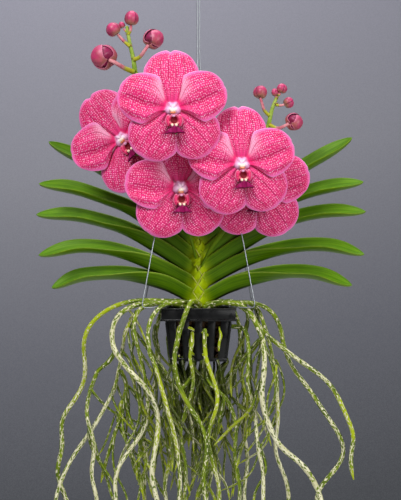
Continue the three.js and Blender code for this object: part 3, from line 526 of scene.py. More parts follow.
def conifer_bark():
    """Bark chips: corky red-brown layers with pale broken faces."""
    look = Finish("conifer_bark")
    place = look.node("TexCoord", output="Object")
    layers = look.node("TexNoise", {"Vector": place, "Scale": per_metre(3.5), "Detail": 5})
    cork = look.node("ValToRGB", layers,
                     stops=((0.3, "#140904"), (0.55, "#35200E"), (0.75, "#5E3E1C")))
    ground = look.painted(cork, (look.node("Math", "tone", 0.7, **TIMES), "#6A4A26"))
    return look.done(ground, (layers, 0.6), roughness=0.9)


def galvanised_steel():
    """Galvanised wire: silvery zinc, a little cloudy, drawn lengthwise."""
    look = Finish("galvanised_steel_wire")
    place = look.node("TexCoord", output="Object")
    cloud = look.node("TexNoise", {"Vector": place, "Scale": per_metre(2.5), "Detail": 3})
    return look.done(look.painted("#84888D", (cloud, "#B4B9BD")), (cloud, 0.02), metallic=1.0,
                     roughness=look.node("MapRange", cloud, 0.3, 0.7, 0.3, 0.45, **SMOOTH))


def studio_paper(name, stops):
    """Matt studio paper with a barely visible tooth, lit a little less towards its foot."""
    look = Finish(name)
    place = look.node("TexCoord", output="Object")
    across = look.node("SeparateXYZ", place)
    leaning = look.node("Math", across, 0.12, **TIMES)
    height = look.node("Math", across.node.outputs["Z"], leaning, **MINUS)
    shade = look.node("ValToRGB", look.node("MapRange", height, FLOOR_LEVEL, 0.9), stops=stops)
    tooth = look.node("TexNoise", {"Vector": place, "Scale": per_metre(3), "Detail": 2})
    ground = look.painted(shade, (tooth, "#FFFFFF", 0.3, 0.7, 0, 0.03))
    return look.done(ground, roughness=0.9)


PETAL = petal_tissue()
COLUMN = column_tissue()
ANTHER = anther_cap_wax()
LIP = lip_velvet()
THROAT = lip_throat()
LEAF = leaf_cuticle()
STEM = stem_skin()
STALK = stalk_skin()
BUD = bud_skin()
ROOT = root_velamen()
PLASTIC = black_polypropylene()
BARK = conifer_bark()
STEEL = galvanised_steel()


# ---- basket ----------------------------------------------------------------------------------
RIM_HALF, RIM_INNER_HALF, RIM_HEIGHT = 41, 36.2, 14
WALL_TOP_HALF, WALL_BOTTOM_HALF, WALL = 37.6, 30.6, 3
BASKET_DEPTH = 58
FLOOR_HALF = WALL_BOTTOM_HALF + 0.4
SLAT_HALF, SLAT_PITCH = 4.25, 15
PANEL_INSET, PANEL_RAISE = 1.3, 0.45


def wall_half(z):
    return mix(WALL_TOP_HALF, WALL_BOTTOM_HALF, -z / BASKET_DEPTH)


def square_ring(outer, inner, top, bottom, bevel=0.9):
    """A square frame, as one moulding."""
    bm = bmesh.new()
    bmesh.ops.create_grid(bm, x_segments=1, y_segments=1, size=outer,
                          matrix=Matrix.Translation((0, 0, top)))
    bmesh.ops.inset_region(bm, faces=bm.faces[:], thickness=outer - inner, use_boundary=True,
                           use_even_offset=True)
    hole = [face for face in bm.faces if face.calc_center_median().length < abs(top) + 0.1
            and all(abs(vert.co.x) < outer - 0.1 for vert in face.verts)]
    bmesh.ops.delete(bm, geom=hole, context="FACES_KEEP_BOUNDARY")
    made = bmesh.ops.extrude_face_region(bm, geom=bm.faces[:])
    moved = [item for item in made["geom"] if isinstance(item, bmesh.types.BMVert)]
    bmesh.ops.translate(bm, verts=moved, vec=(0, 0, bottom - top))
    bmesh.ops.recalc_face_normals(bm, faces=bm.faces)
    sharp = [edge for edge in bm.edges if edge.is_manifold and edge.calc_face_angle() > 0.5]
    bmesh.ops.bevel(bm, geom=sharp, offset=bevel, affect="EDGES", segments=2, profile=0.5,
                    material=-1)
    return bm


def slat(place, turn):
    """A wall slat that leans in with the basket's taper, with a shallow panel on its face."""
    bm = together([
        block((-SLAT_HALF, 0, -BASKET_DEPTH), (SLAT_HALF, WALL, -6), 0.8),
        block((PANEL_INSET - SLAT_HALF, -PANEL_RAISE, 4 - BASKET_DEPTH),
              (SLAT_HALF - PANEL_INSET, 1, -RIM_HEIGHT - 2), 0.4),
    ])
    for vert in bm.verts:
        squeeze = wall_half(vert.co.z) / WALL_TOP_HALF
        vert.co.x += place * SLAT_PITCH * squeeze
        vert.co.y -= wall_half(vert.co.z)
    bm.transform(Matrix.Rotation(turn, 4, "Z"))
    return bm


def basket():
    low = -BASKET_DEPTH
    parts = [
        square_ring(RIM_HALF, RIM_INNER_HALF, 0, -2.0, 0.6),
        square_ring(RIM_HALF - 0.9, RIM_INNER_HALF, -1.5, -12.5, 0.4),
        square_ring(RIM_HALF, RIM_INNER_HALF, -12, -RIM_HEIGHT, 0.6),
        square_ring(FLOOR_HALF, FLOOR_HALF - 6, low + 4, low),
    ]
    for side in range(4):
        parts += [slat(place, side * math.pi / 2) for place in (-2, -1, 0, 1, 2)]
    for place in (-1, 0, 1):
        x = place * SLAT_PITCH * WALL_BOTTOM_HALF / WALL_TOP_HALF
        parts.append(block((x - 3, 1 - FLOOR_HALF, low + 0.5),
                           (x + 3, FLOOR_HALF - 1, low + 3), 0.5))
    piece("basket_shell", together(parts), PLASTIC, "basket", "basket")


BARK_LEVELS, BARK_BOTTOM, BARK_LEVEL_HEIGHT = 6, -52, 7.2
BARK_LOW, BARK_HIGH = (9, 7, 3.5), (14, 10, 5.5)


def bark_chip(chance, seed, centre):
    """A broken cube, flattened and thrown down near a centre."""
    bm = bmesh.new()
    bmesh.ops.create_cube(bm, size=1)
    bmesh.ops.subdivide_edges(bm, edges=bm.edges[:], cuts=2, use_grid_fill=True)
    for vert in bm.verts:
        vert.co += (noise.noise_vector(vert.co * 1.7 + seed) * 0.26
                    + noise.noise_vector(vert.co * 5 - seed) * 0.08)
    size = [chance.uniform(*ends) for ends in zip(BARK_LOW, BARK_HIGH)]
    turn = Matrix.Rotation(chance.uniform(0, math.tau), 4, "Z")
    tilt = Matrix.Rotation(chance.uniform(-0.5, 0.5), 4, "X")
    thrown = [middle + chance.uniform(-1.5, 1.5) for middle in centre]
    bm.transform(Matrix.Translation(thrown) @ turn @ tilt @ Matrix.Diagonal((*size, 1)))
    return marked(bm, tone=chance.random() ** 2)


def bark_chips():
    """Coarse chips thrown loosely into the basket."""
    chance = random.Random(4)
    noise.seed_set(4)  # without it, noise_vector takes its seed from the clock
    parts = []
    for level in range(BARK_LEVELS):
        z = BARK_BOTTOM + level * BARK_LEVEL_HEIGHT
        reach = wall_half(z) - WALL - 5.5
        for column in range(-2, 3):
            for row in range(-2, 3):
                seed = Vector((level * 7, column * 11, row * 13))
                centre = (column * reach / 2.15, row * reach / 2.15, z)
                parts.append(bark_chip(chance, seed, centre))
    piece("bark_chips", together(parts), BARK, "bark", "bark_medium", smooth=False)


# ---- hanger ----------------------------------------------------------------------------------
WIRE_RADIUS, HOOK_RADIUS = 0.7, 0.8
WIRE_FOOT = WIRE_RADIUS + 0.35
# a wire from under the rim's corner, over it and up to the ferrule
WIRE_ROUTE = [
    (34.4, 34.4, -5), (34.6, 34.6, -0.6), (35.4, 35.4, WIRE_FOOT + 0.5),
    (37.2, 37.2, WIRE_FOOT + 0.4), (43, 42.5, WIRE_FOOT), (54, 49, WIRE_FOOT),
    (58.6, 51.3, 1.6), (60, 52, 4.4), (59.4, 51.4, 9), (55.5, 48.4, 30), (50.4, 44.6, 59),
    (45.6, 40.1, 84), (40, 35, 110), (33.8, 29.8, 138), (27, 24, 165), (19.8, 17.8, 192),
    (12.5, 11.5, 218), (6.6, 6.1, 240), (2.6, 2.5, 258), (1.3, 1.3, 272), (1.3, 1.3, 354),
]
FERRULE_BOTTOM, FERRULE_LENGTH = 341, 12
# radius and height of the ferrule's outline, with the two grooves that the crimping left
FERRULE_PROFILE = [(2.85, 0), (3.5, 0), (3.9, 0.5), (3.9, 3), (3.55, 4), (3.9, 5), (3.9, 7),
                   (3.55, 8), (3.9, 9), (3.9, 11.5), (3.5, 12), (2.85, 12)]
HOOK_INNER_RADIUS = 12


def hanger():
    for name, x_side, y_side in (("front_left", -1, -1), ("front_right", 1, -1),
                                 ("back_left", -1, 1), ("back_right", 1, 1)):
        line = smooth_line([(x_side * x, y_side * y, z) for x, y, z in WIRE_ROUTE], 2)
        piece(f"hanger_wire_{name}", tube(line, even(WIRE_RADIUS), 10), STEEL, "wire",
              f"wire_{name}")
    bm = bmesh.new()
    verts = [bm.verts.new((radius, 0, FERRULE_BOTTOM + z)) for radius, z in FERRULE_PROFILE]
    edges = [bm.edges.new(pair) for pair in zip(verts, verts[1:] + verts[:1])]
    bmesh.ops.spin(bm, geom=edges, axis=(0, 0, 1), cent=(0, 0, 0), angle=math.tau, steps=32,
                   use_merge=True)
    bmesh.ops.recalc_face_normals(bm, faces=bm.faces)
    piece("crimped_ferrule", bm, STEEL, "wire", "wire_ferrule")
    centre, radius = RIM_BELOW_HOOK - HOOK_INNER_RADIUS, HOOK_INNER_RADIUS + HOOK_RADIUS
    route = [(0, 0, FERRULE_BOTTOM), (0, 0, FERRULE_BOTTOM + FERRULE_LENGTH),
             (2.4, 0, centre - radius - 4)]
    for degrees in range(-52, 209, 20):
        angle = math.radians(degrees)
        route.append((radius * math.cos(angle), 0, centre + radius * math.sin(angle)))
    piece("hook", tube(smooth_line(route, 1), even(HOOK_RADIUS), 12), STEEL, "wire",
          "hanging_hook")


# ---- leaves and stem -------------------------------------------------------------------------
# Each leaf: the points (x, z) of its middle line from foot to tip, and how far its tip swings
# in depth.
LEAVES = {
    "leaf_right_1": ([(8, 11), (35, 25), (68, 35), (101, 40), (135, 37), (169, 24)], -2),
    "leaf_left_1": ([(-8, 12.5), (-36, 27), (-76, 37), (-104, 38), (-136, 34), (-162, 21)], 2),
    "leaf_right_2": ([(7.6, 29.5), (46, 51), (81, 63), (115, 69), (150, 68), (183, 58)], 3),
    "leaf_left_2": ([(-7.2, 27), (-37, 42.5), (-70, 57), (-103, 66), (-139, 67), (-176, 57)], -3),
    "leaf_right_3": ([(7.4, 44.5), (46, 70), (81, 90), (115, 102), (150, 107), (184, 105)], -3),
    "leaf_left_3": ([(-7.4, 42), (-37, 63), (-75, 85), (-103, 95), (-141, 103), (-179, 102)], 3),
    "leaf_right_4": ([(7.6, 59), (41, 85), (76, 108), (112, 125), (150, 135), (182, 138)], 2),
    "leaf_left_4": ([(-7.6, 57), (-31, 76), (-70, 107), (-103, 121), (-141, 133), (-176, 136)], 2),
    "leaf_right_5": ([(5, 72), (41, 103), (76, 131), (112, 154), (141, 171), (169.5, 187)], 5),
    "leaf_left_5": ([(-5.2, 71), (-31, 98), (-64, 126), (-97, 148), (-130, 166), (-165.5, 182.5)], 6),
}
YOUNG_LEAVES = {
    "leaf_young_left": ([(-2.8, 73.5), (-6.4, 92), (-15, 112), (-27, 131)], 3),
    "leaf_young_right": ([(2.8, 73.3), (6.4, 89), (11, 103), (18, 117)], 2),
}
YOUNG_SCALE = 0.42
LEAF_HALF_WIDTH, LEAF_BASE_HALF_WIDTH = 17.5, 15.5
# where along the leaf its cross-section is set out, from foot to tip
LEAF_STATIONS = [0, 0.04, 0.09, 0.15, 0.22, 0.30, 0.39, 0.48, 0.57, 0.66, 0.74, 0.81, 0.87, 0.92,
                 0.955, 0.98, 1]
CLOSED = 76  # how steeply both wings stand at the foot, in degrees
STEM_FRONT = 8.2  # how far the innermost sheath lies from the stem's middle, in depth
SHEATH_STEP = 0.24  # how much further out each next sheath lies
KEEL_THICKNESS, MARGIN_THICKNESS = 1.7, 0.7


def leaf_half_width(along):
    base = mix(LEAF_BASE_HALF_WIDTH, LEAF_HALF_WIDTH, rise(0, 0.25, along))
    end = max(0, along - 0.80) / 0.20
    return base * max(0, 1 - end * end) ** 0.7


def leaf(name, points, sweep, order, scale=1):
    """A strap folded along its keel, which clasps the stem and opens towards its tip.

    Each wing lies between the keel and its own margin; order counts the leaves inside it.
    A young leaf, which is smaller in scale, has no part that clasps the stem."""
    line = smooth_line([(x, 0, z) for x, z in points], 1)
    frames = carried_across(line)
    last = len(line) - 1
    outwards = -1 if points[-1][0] < 0 else 1
    layer = SHEATH_STEP * order
    young = scale < 1

    def wing(along, side):
        """The keel, the middle of the arch and the margin of one wing."""
        index = along * last
        whole = min(int(index), last - 1)
        centre = line[whole].lerp(line[whole + 1], index - whole)
        ahead = frames[whole][0].lerp(frames[whole + 1][0], index - whole)
        up = Vector((-ahead.z, 0, ahead.x)) * outwards
        opening = rise(0.14, 0.60, along)
        near, far = (math.radians(mix(CLOSED, end, opening))
                     for end in (mix(17, 9, rise(0.7, 0.95, along)), 58))
        angle = near if side < 0 else far
        half = leaf_half_width(along) * scale
        sink = half * max(math.sin(near), math.sin(far)) / 2
        drift = Vector((0, sweep * along * along, 0))
        keel = centre - up * sink + drift
        edge = keel + up * half * math.sin(angle) + Vector((0, side * half * math.cos(angle), 0))
        edge.y += side * layer * (1 - rise(0, 0.25, along))
        bulge = Vector((0, side * math.sin(angle), 0)) - up * math.cos(angle)
        return keel, (keel + edge) / 2 + bulge * half * 0.16, edge

    def sheath(low, side):
        """The same where it clasps the stem; low runs from 0, the blade's foot, down to 1."""
        keel_end, middle_end, edge_end = wing(0, side)
        keel = Vector((outwards * mix(keel_end.x * outwards, 3.2, low), 0, keel_end.z - 12 * low))
        across = mix(8, -6.8, low)
        front = STEM_FRONT + layer
        edge = Vector((outwards * across, side * front * math.sqrt(1 - (across / 9.4) ** 2),
                       edge_end.z - 1.25 * (8 - across)))
        middle = (keel + edge) / 2
        middle.y = side * mix(abs(middle_end.y), front * 1.22, rise(0, 0.7, low))
        for part in (keel, middle, edge):
            part.z = max(part.z, 1.0 + 0.1 * part.z)
        return keel, middle, edge

    rows = {}
    for side in (-1, 1):
        guides = [wing(along, side) for along in LEAF_STATIONS]
        if not young:
            guides = [sheath(low, side) for low in (1, 0.66, 0.33)] + guides
        rows[side] = [[guide[part] for guide in guides] for part in range(3)]
    stations = len(rows[1][0]) - 1
    clasped = stations + 1 - len(LEAF_STATIONS)

    def surface(way, side):
        keel, middle, edge = (flow(curve, way) for curve in rows[-1 if side < 0 else 1])
        share = abs(side)
        return ((1 - share) ** 2) * keel + 2 * share * (1 - share) * middle + share ** 2 * edge

    def inwards(way, side):
        """The direction in which the inner face of the wing looks."""
        wing_side, share = -1 if side < 0 else 1, abs(side)
        around = (surface(way, wing_side * min(share + 0.02, 1))
                  - surface(way, wing_side * max(share - 0.02, 0)))
        ahead = surface(min(way + 0.05, stations), side) - surface(max(way - 0.05, 0), side)
        inner = ahead.cross(around)
        inner = inner.normalized() if inner.length > 1e-6 else Vector((0, 0, 1))
        if inner.y * wing_side > 0:
            inner = -inner
        if share < 0.08:
            inner = inner.lerp(Vector((0, 0, 1)), 1 - share / 0.08).normalized()
        return inner

    def place(u, v):
        way = v * stations
        upper = u < 0.5
        side = mix(-1, 1, 2 * u) if upper else mix(1, -1, 2 * u - 1)
        share = abs(side)
        thickness = mix(KEEL_THICKNESS, MARGIN_THICKNESS, share) * (scale ** 0.5) * min(1, 30 * (1 - v))
        if share > 0.999:
            thickness = 0
        offset = inwards(way, side) * (thickness / 2 if upper else -thickness / 2)
        half = LEAF_HALF_WIDTH * scale
        from_edge = (1 - share) * half
        beyond = way - clasped
        along = max(0, beyond) / (stations - clasped)
        in_clasp = 0 if young else 1 - rise(-0.5, 2.5, beyond)
        marks = {
            "upper": float(upper),
            "young": 0.35 if young else 0.95 * (1 - rise(-1.2, 1.5, beyond)),
            # painted shade on the underside along the keel near the foot, where the leaves part
            "fold": (0.0 if young or upper else (1 - rise(0.05, 0.26, share))
                     * (1 - rise(0.22, 0.45, along)) * rise(-1.2, 0.2, beyond)),
            "lit": (0.35 * rise(0.45, 0.9, along)
                    + (0 if upper else 0.3 * (1 - rise(0, 4, from_edge)))),
            # a pale line along both margins: the paler edge of the sheath where it clasps the stem, and a
            # painted highlight along the blade
            "margin": ((1 - rise(0.4, 1.1, from_edge)) * mix(0.55, 0.3, in_clasp)
                       * (1 - 0.7 * rise(0.3, 0.7, along))),
        }
        return surface(way, side) + offset, (side * half, way * 11), marks

    columns, rows_along = (32, 40) if young else (56, 96)
    bm = weld(sheet(columns, rows_along, place), 0.02)
    piece(f"{name}_blade", bm, LEAF, "leaf", name)


# The thin raised margins that cross the front of the stem, from one side to the other: (x, z).
SHEATH_SEAMS = [
    [(-6.2, 16.5), (-0.7, 8.5), (2.5, 5)], [(6.1, 17.1), (1.0, 9.2), (-1.5, 6)],
    [(-7.2, 34.1), (-0.7, 25.7), (5.8, 17.8)], [(7.0, 38.3), (3.9, 34.4), (-0.7, 25.7), (-5.9, 17.1)],
    [(-2.4, 46.2), (4.4, 34.4)], [(7.8, 55), (0.2, 42.2)], [(-3.0, 63.4), (2.8, 54)],
]
STEM_BOTTOM, STEM_TOP = -12, 76
STEM_HALF_WIDTH, STEM_HALF_DEPTH = 6.6, 9.2


def stem():
    """The stem, and the margins of the sheaths that cross it like a plait."""
    def place(u, v):
        z = mix(STEM_BOTTOM, STEM_TOP, v)
        angle = math.tau * u
        slim = 1 - 0.22 * rise(20, STEM_TOP, z)
        round_off = math.sqrt(max(0, 1 - (2 * v - 1) ** 14))
        foot = mix(0.86, 1, rise(-2, 14, z))
        wide, deep = STEM_HALF_WIDTH * slim, STEM_HALF_DEPTH * mix(slim, 1, 0.3)
        point = Vector((math.cos(angle) * wide * round_off * foot,
                        math.sin(angle) * deep * round_off * foot, z))
        return point, (u * 45, z), {"dry": 1 - rise(-1, 8, z), "seam": 0.0}

    parts = [weld(sheet(32, 60, place), 0.02)]
    for number, route in enumerate(SHEATH_SEAMS):
        front = STEM_FRONT + 2.8 - 0.22 * number
        points = [(x, -front * math.sqrt(1 - (x / 12.5) ** 2), z) for x, z in route]
        parts.append(tube(smooth_line(points, 0.8), even(0.42), 8,
                          lambda share: {"dry": 0.0, "seam": 1.0}))
    piece("sheathed_stem", together(parts), STEM, "stem", "stem")


# ---- flowers ---------------------------------------------------------------------------------
# A flower is drawn flat: x to the right, y up and z towards whoever looks into it.
FACE = 3.15  # the level on which the column and the lip stand
LIP_MIDDLE = 1.4  # the lip hangs this far to the right
# Where each flower's middle is, how it turns in degrees, how large it is, how far its petals
# droop in degrees, and how far its tips lie back in mm.
FLOWERS = {
    "a": dict(at=(-27, -104, 209), yaw=3, pitch=2, roll=1, scale=0.985, droop=0, back=6),
    "b": dict(at=(-81, -51, 181), yaw=-18, pitch=3, roll=40, scale=0.97, droop=-3, back=-2),
    "c": dict(at=(-20, -62, 129), yaw=9, pitch=-2, roll=0, scale=0.98, droop=14, back=3),
    "d": dict(at=(45, -87, 153), yaw=3, pitch=0, roll=2, scale=0.96, droop=3, back=6),
    "e": dict(at=(62, -48, 130), yaw=3, pitch=-2, roll=-6, scale=0.97, droop=0, back=6),
}
# Each petal or sepal: the angle at which it points, its length, half its width, how far forward
# it lies, the share of its width at the claw, where along it the claw ends and where the blade
# is at its widest, and how deep the notch in its tip is.
TEPALS = {
    "dorsal_sepal": (90.5, 64, 31, 0.6, 0.36, 0.06, 0.70, 2.4),
    "left_sepal": (235, 60, 30, 0.7, 0.39, 0.06, 0.67, 0.5),
    "right_sepal": (312.5, 61, 29.7, 0.0, 0.34, 0.06, 0.72, 0.5),
    "left_petal": (158.5, 60.5, 27.2, 3.4, 0.26, 0.13, 0.45, 0.8),
    "right_petal": (23.5, 61.5, 27.2, 3.4, 0.26, 0.13, 0.45, 0.8),
}
WAVE_COUNTS = (2, 3, 7)  # waves round the rim, the last of them finer and lower
TEPAL_THICKNESS = 0.9


def flower_frame(at, yaw, pitch, roll, scale, **_):
    turn = Matrix.Rotation(math.radians(yaw), 4, "Z")
    turn = turn @ Matrix.Rotation(math.radians(90 - pitch), 4, "X")
    turn = turn @ Matrix.Rotation(math.radians(roll), 4, "Z")
    return Matrix.Translation(at) @ turn @ Matrix.Scale(scale, 4)


def tepal(kind, droop, back, seed):
    """One petal or sepal: a broad round blade on a narrow claw."""
    turn, length, half, layer, claw, neck, full, notch = TEPALS[kind]
    petal = kind.endswith("petal")
    if petal:
        turn += droop if turn > 90 else -droop
    axis = Vector((math.cos(math.radians(turn)), math.sin(math.radians(turn)), 0))
    lower = -1 if axis.x > 0 else 1
    across = Vector((-axis.y, axis.x, 0)) * (lower if petal else 1)
    chance = random.Random(seed)
    waves = [(chance.uniform(0, math.tau), chance.uniform(0.5, 1.1)) for _ in WAVE_COUNTS]
    folds = [(chance.uniform(-0.60, -0.40), 0.8), (0.0, 1.0), (chance.uniform(0.40, 0.60), 0.8)]
    crease = chance.uniform(0.24, 0.38)

    def place(u, v):
        a, b = 2 * u - 1, 2 * v - 1
        side, far = a * math.sqrt(1 - b * b / 2), b * math.sqrt(1 - a * a / 2)
        along = (far + 1) / 2
        reach = mix(-2, length, along)
        reach -= notch * math.exp(-(a / 0.12) ** 2) * rise(0.5, 1, b)
        width = half * mix(claw, 1, rise(neck, full, along)) * (1 + 0.05 * rise(0.75, 1, along))
        out = min(1, math.hypot(side, far))
        angle = math.atan2(side, far)
        z = layer - (1.5 if petal else 2.6) * out ** 6 - back * (reach / 57) ** 2
        for count, (phase, size) in zip(WAVE_COUNTS, waves):
            z += size * out ** 3 * math.sin(count * angle + phase) * (1.0 if count < 7 else 0.45)
        if petal:
            z += 1.6 * rise(9, 24, reach)
            swell = rise(0.10, 0.34, along) * (1 - rise(0.78, 1.0, along))
            z += swell * (4.0 * math.exp(-((side + 0.22) / 0.40) ** 2)
                          - 1.8 * math.exp(-((side - crease) / 0.16) ** 2)
                          + 3.4 * math.exp(-((side - 0.62) / 0.20) ** 2))
            z += 2.4 * rise(0.2, 1.0, a) * math.exp(-((along - 0.32) / 0.20) ** 2)
        else:
            z += 4.4 * (1 - out * out)
            for at, size in folds:
                z -= (size * 1.9 * math.exp(-((side - at) / 0.11) ** 2)
                      * (1 - rise(0.40, 0.95, along)) * rise(0, 0.12, along))
        point = axis * reach + across * side * width + Vector((0, 0, z))
        rim = min((1 - abs(a)) * half * math.sqrt(1 - b * b / 2), (1 - b) * length / 2)
        rim += 9 * (1 - rise(10, 24, reach))
        base = 1 - rise(4.5, 8.5, reach)
        inner = {"left_sepal": side, "right_sepal": -side}.get(kind, -1)
        upper_edge = (1 - rise(-0.85, 0.0, a)) * rise(9, 14, reach) * (1 - rise(18, 34, reach))
        marks = {
            "rim": rim,
            "dots": rise(9, 20, reach) * rise(0.8, 4.5, rim),
            "veins": rise(5, 14, reach) * rise(1.5, 8.0, rim),
            # painted shadow on each lateral sepal's inner half near the middle, below the lip
            "shade": 0.85 * rise(-0.3, 0.7, inner) * (1 - rise(20, 42, reach)),
            "flush": max(0.9 * base, 0.6 * upper_edge if petal else 0),
            "blotch": (rise(5, 9, reach) * (1 - rise(11, 18, reach)) if petal
                       else 0.5 * (1 - rise(10, 26, reach))),
        }
        return point, (a * half, b * length / 2), marks

    return thicken(sheet(48, 44, place), TEPAL_THICKNESS)


# how far the column's scalloped edge reaches, at every twelfth of the way round
COLUMN_EDGE = [8.3, 6.3, 8.4, 6.5, 8.4, 6.3, 8.3, 8.3, 7.0, 6.2, 7.0, 8.5]


def column():
    """The column: a waxy white bell with five soft points and a small beak under the anther."""
    around = [COLUMN_EDGE[-1], *COLUMN_EDGE, *COLUMN_EDGE[:2]]

    def place(u, v):
        angle = math.tau * u
        edge = flow(around, 1 + 12 * u)
        reach = edge * v
        lift = 3.4 * (1 - v ** 2.2) ** 0.9 + (edge - 7.2) * v * (1 - v) * 3
        point = Vector((0.3 + reach * math.cos(angle), -0.3 + reach * math.sin(angle),
                        FACE + 0.9 + lift))
        return point, (u * 40, v * 8), {"blush": 0.85 * rise(0.35, 0.95, v)}

    return together([
        thicken(sheet(48, 12, place), 1.2),
        marked(ball((0.3, 0, FACE + 1.2), (4.4, 4.4, 2.8)), blush=0.2),
        marked(ball((0.8, -7.6, FACE + 3.8), (2.2, 1.8, 1.6), 16, 10), blush=0.6),
    ])


def anther():
    """The cap over the pollen, with the orange lip of the beak under it."""
    middle = -2.4
    cap = ball((0.3, middle, FACE + 5.4), (3.0, 2.2, 1.9),
               shape=lambda p: Vector((p.x * (1 - 0.12 * p.y), p.y, p.z)))
    band = cap.verts.layers.float.new("band")
    for vert in cap.verts:
        vert[band] = 0.25 * (1 - rise(-1.6, -0.4, vert.co.y - middle))
    lip = marked(ball((0.3, -4.9, FACE + 5.5), (3.3, 1.15, 1.8), 16, 10), band=1.0)
    return together([cap, lip])


def side_lobe(side):
    """One of two ears that stand up round the throat, rosy with a pale free edge."""
    def place(u, v):
        bow = math.sin(math.pi * mix(0.08, 0.92, v))
        outer = mix(5.6, 9.2, bow ** 0.7)
        x = LIP_MIDDLE + side * mix(outer, outer - 4.6 * bow ** 0.5, u)
        y = mix(-6.6, -19.2, v)
        z = FACE + 2.4 + 3.8 * bow ** 0.6 * math.sin(math.pi * mix(0.10, 0.80, u)) ** 0.8
        # painted shade on the lobe's inner side, towards the throat
        marks = {"deep": 0.6 * rise(0.8, 1, u), "cream": 0.0,
                 "pale": max(0.8 * (1 - rise(0.04, 0.22, u)), 0.7 * (1 - rise(0.0, 0.18, v)))}
        return Vector((x, y, z)), (u * 8, v * 12), marks

    return thicken(sheet(16, 22, place), 0.9)


def throat():
    """The hollow between the lobes, darkened with painted shade, with two cream bumps at its mouth."""
    def place(u, v):
        angle = math.tau * u
        x, y = 6.2 * v * math.cos(angle), 6.4 * v * math.sin(angle)
        z = FACE + 0.8 + 4.6 * v ** 2.2
        low = 1 - rise(-0.9, 0.2, math.sin(angle))
        # painted shade, darkest down in the middle of the hollow
        marks = {"deep": 1 - rise(0.62, 0.84, v),
                 "pale": 0.55 * rise(0.7, 1.0, v) * rise(0.2, 0.9, math.sin(angle)),
                 "cream": 0.5 * low * rise(0.62, 0.78, v) * (0.5 + 0.5 * math.cos(9 * angle))}
        return Vector((LIP_MIDDLE + x, y - 12.4, z)), (u * 30, v * 6), marks

    bumps = [marked(ball((LIP_MIDDLE + side * 2.1, -18.0, FACE + 6.8), (1.5, 1.6, 1.7), 12, 8),
                    deep=0, cream=1, pale=0) for side in (-1, 1)]
    return together([thicken(sheet(36, 12, place), 0.7), *bumps])


def midlobe():
    """The lip's tongue: a keeled shelf that slopes out, seen as a crescent with sharp corners."""
    def place(u, v):
        side = 2 * u - 1
        outer = abs(side)
        x = LIP_MIDDLE + 0.4 + side * 10.4
        top = -26.4 + 6.8 * (1 - outer ** 1.7)
        low = -27.2 + 0.9 * math.sin(math.pi * outer)
        y = mix(top, low, v) + 0.4 * side
        z = FACE + 5.4 + (1 - outer ** 1.8) * mix(1.8, 5.4, v ** 0.8) + 2.0 * outer ** 2
        z += 0.7 * math.exp(-(side / 0.10) ** 2)
        # edge: a painted highlight along the top edge and in two bands; hollow: painted shade beside the
        # keel, at the tips and along the lower edge
        marks = {"edge": (0.5 * (1 - rise(0.0, 0.10, v))
                          + 0.15 * math.exp(-((outer - 0.45) / 0.12) ** 2)),
                 "hollow": (0.5 * math.exp(-((outer - 0.2) / 0.08) ** 2)
                            + 0.5 * rise(0.75, 1, outer) + rise(0.86, 1, v))}
        return Vector((x, y, z)), (side * 10, v * 8), marks

    # the foot carries a little of the painted highlight and of the painted shade
    foot = marked(ball((LIP_MIDDLE, -19.6, FACE + 4.0), (4.4, 2.6, 3.4), 18, 12),
                  edge=0.3, hollow=0.3)
    return together([thicken(sheet(34, 12, place), 1.4), foot])


def nectar_spur():
    """The short green spur that hangs behind the lip."""
    line = smooth_line([(LIP_MIDDLE, -15, FACE + 1.2), (LIP_MIDDLE + 0.6, -21, FACE + 1.2),
                        (LIP_MIDDLE + 2.0, -27.6, FACE + 1.8)], 1)
    # the spur is darkened with painted shade
    return tube(line, lambda share: mix(2.2, 1.0, share), 12,
                lambda share: {"rosy": 0.4 - 0.3 * share, "yellow": 0.0, "scale": 0.0,
                               "deep": 0.7})


def flower(name, facts):
    shapes = [(kind, tepal(kind, facts["droop"], facts["back"], name + kind), PETAL, "tepal",
               "petals" if kind.endswith("petal") else "sepals") for kind in TEPALS]
    shapes += [("column_star", column(), COLUMN, "column", "column"),
               ("anther_cap", anther(), ANTHER, "column", "column"),
               ("lip_left_lobe", side_lobe(-1), THROAT, "lip", "lip"),
               ("lip_right_lobe", side_lobe(1), THROAT, "lip", "lip"),
               ("lip_throat", throat(), THROAT, "lip", "lip"),
               ("lip_midlobe", midlobe(), LIP, "lip", "lip"),
               ("lip_spur", nectar_spur(), STALK, "lip", "lip")]
    for part, bm, finish, slot, group in shapes:
        bm.transform(flower_frame(**facts))
        piece(f"flower_{name}_{part}", bm, finish, slot, f"flower_{name}_{group}")


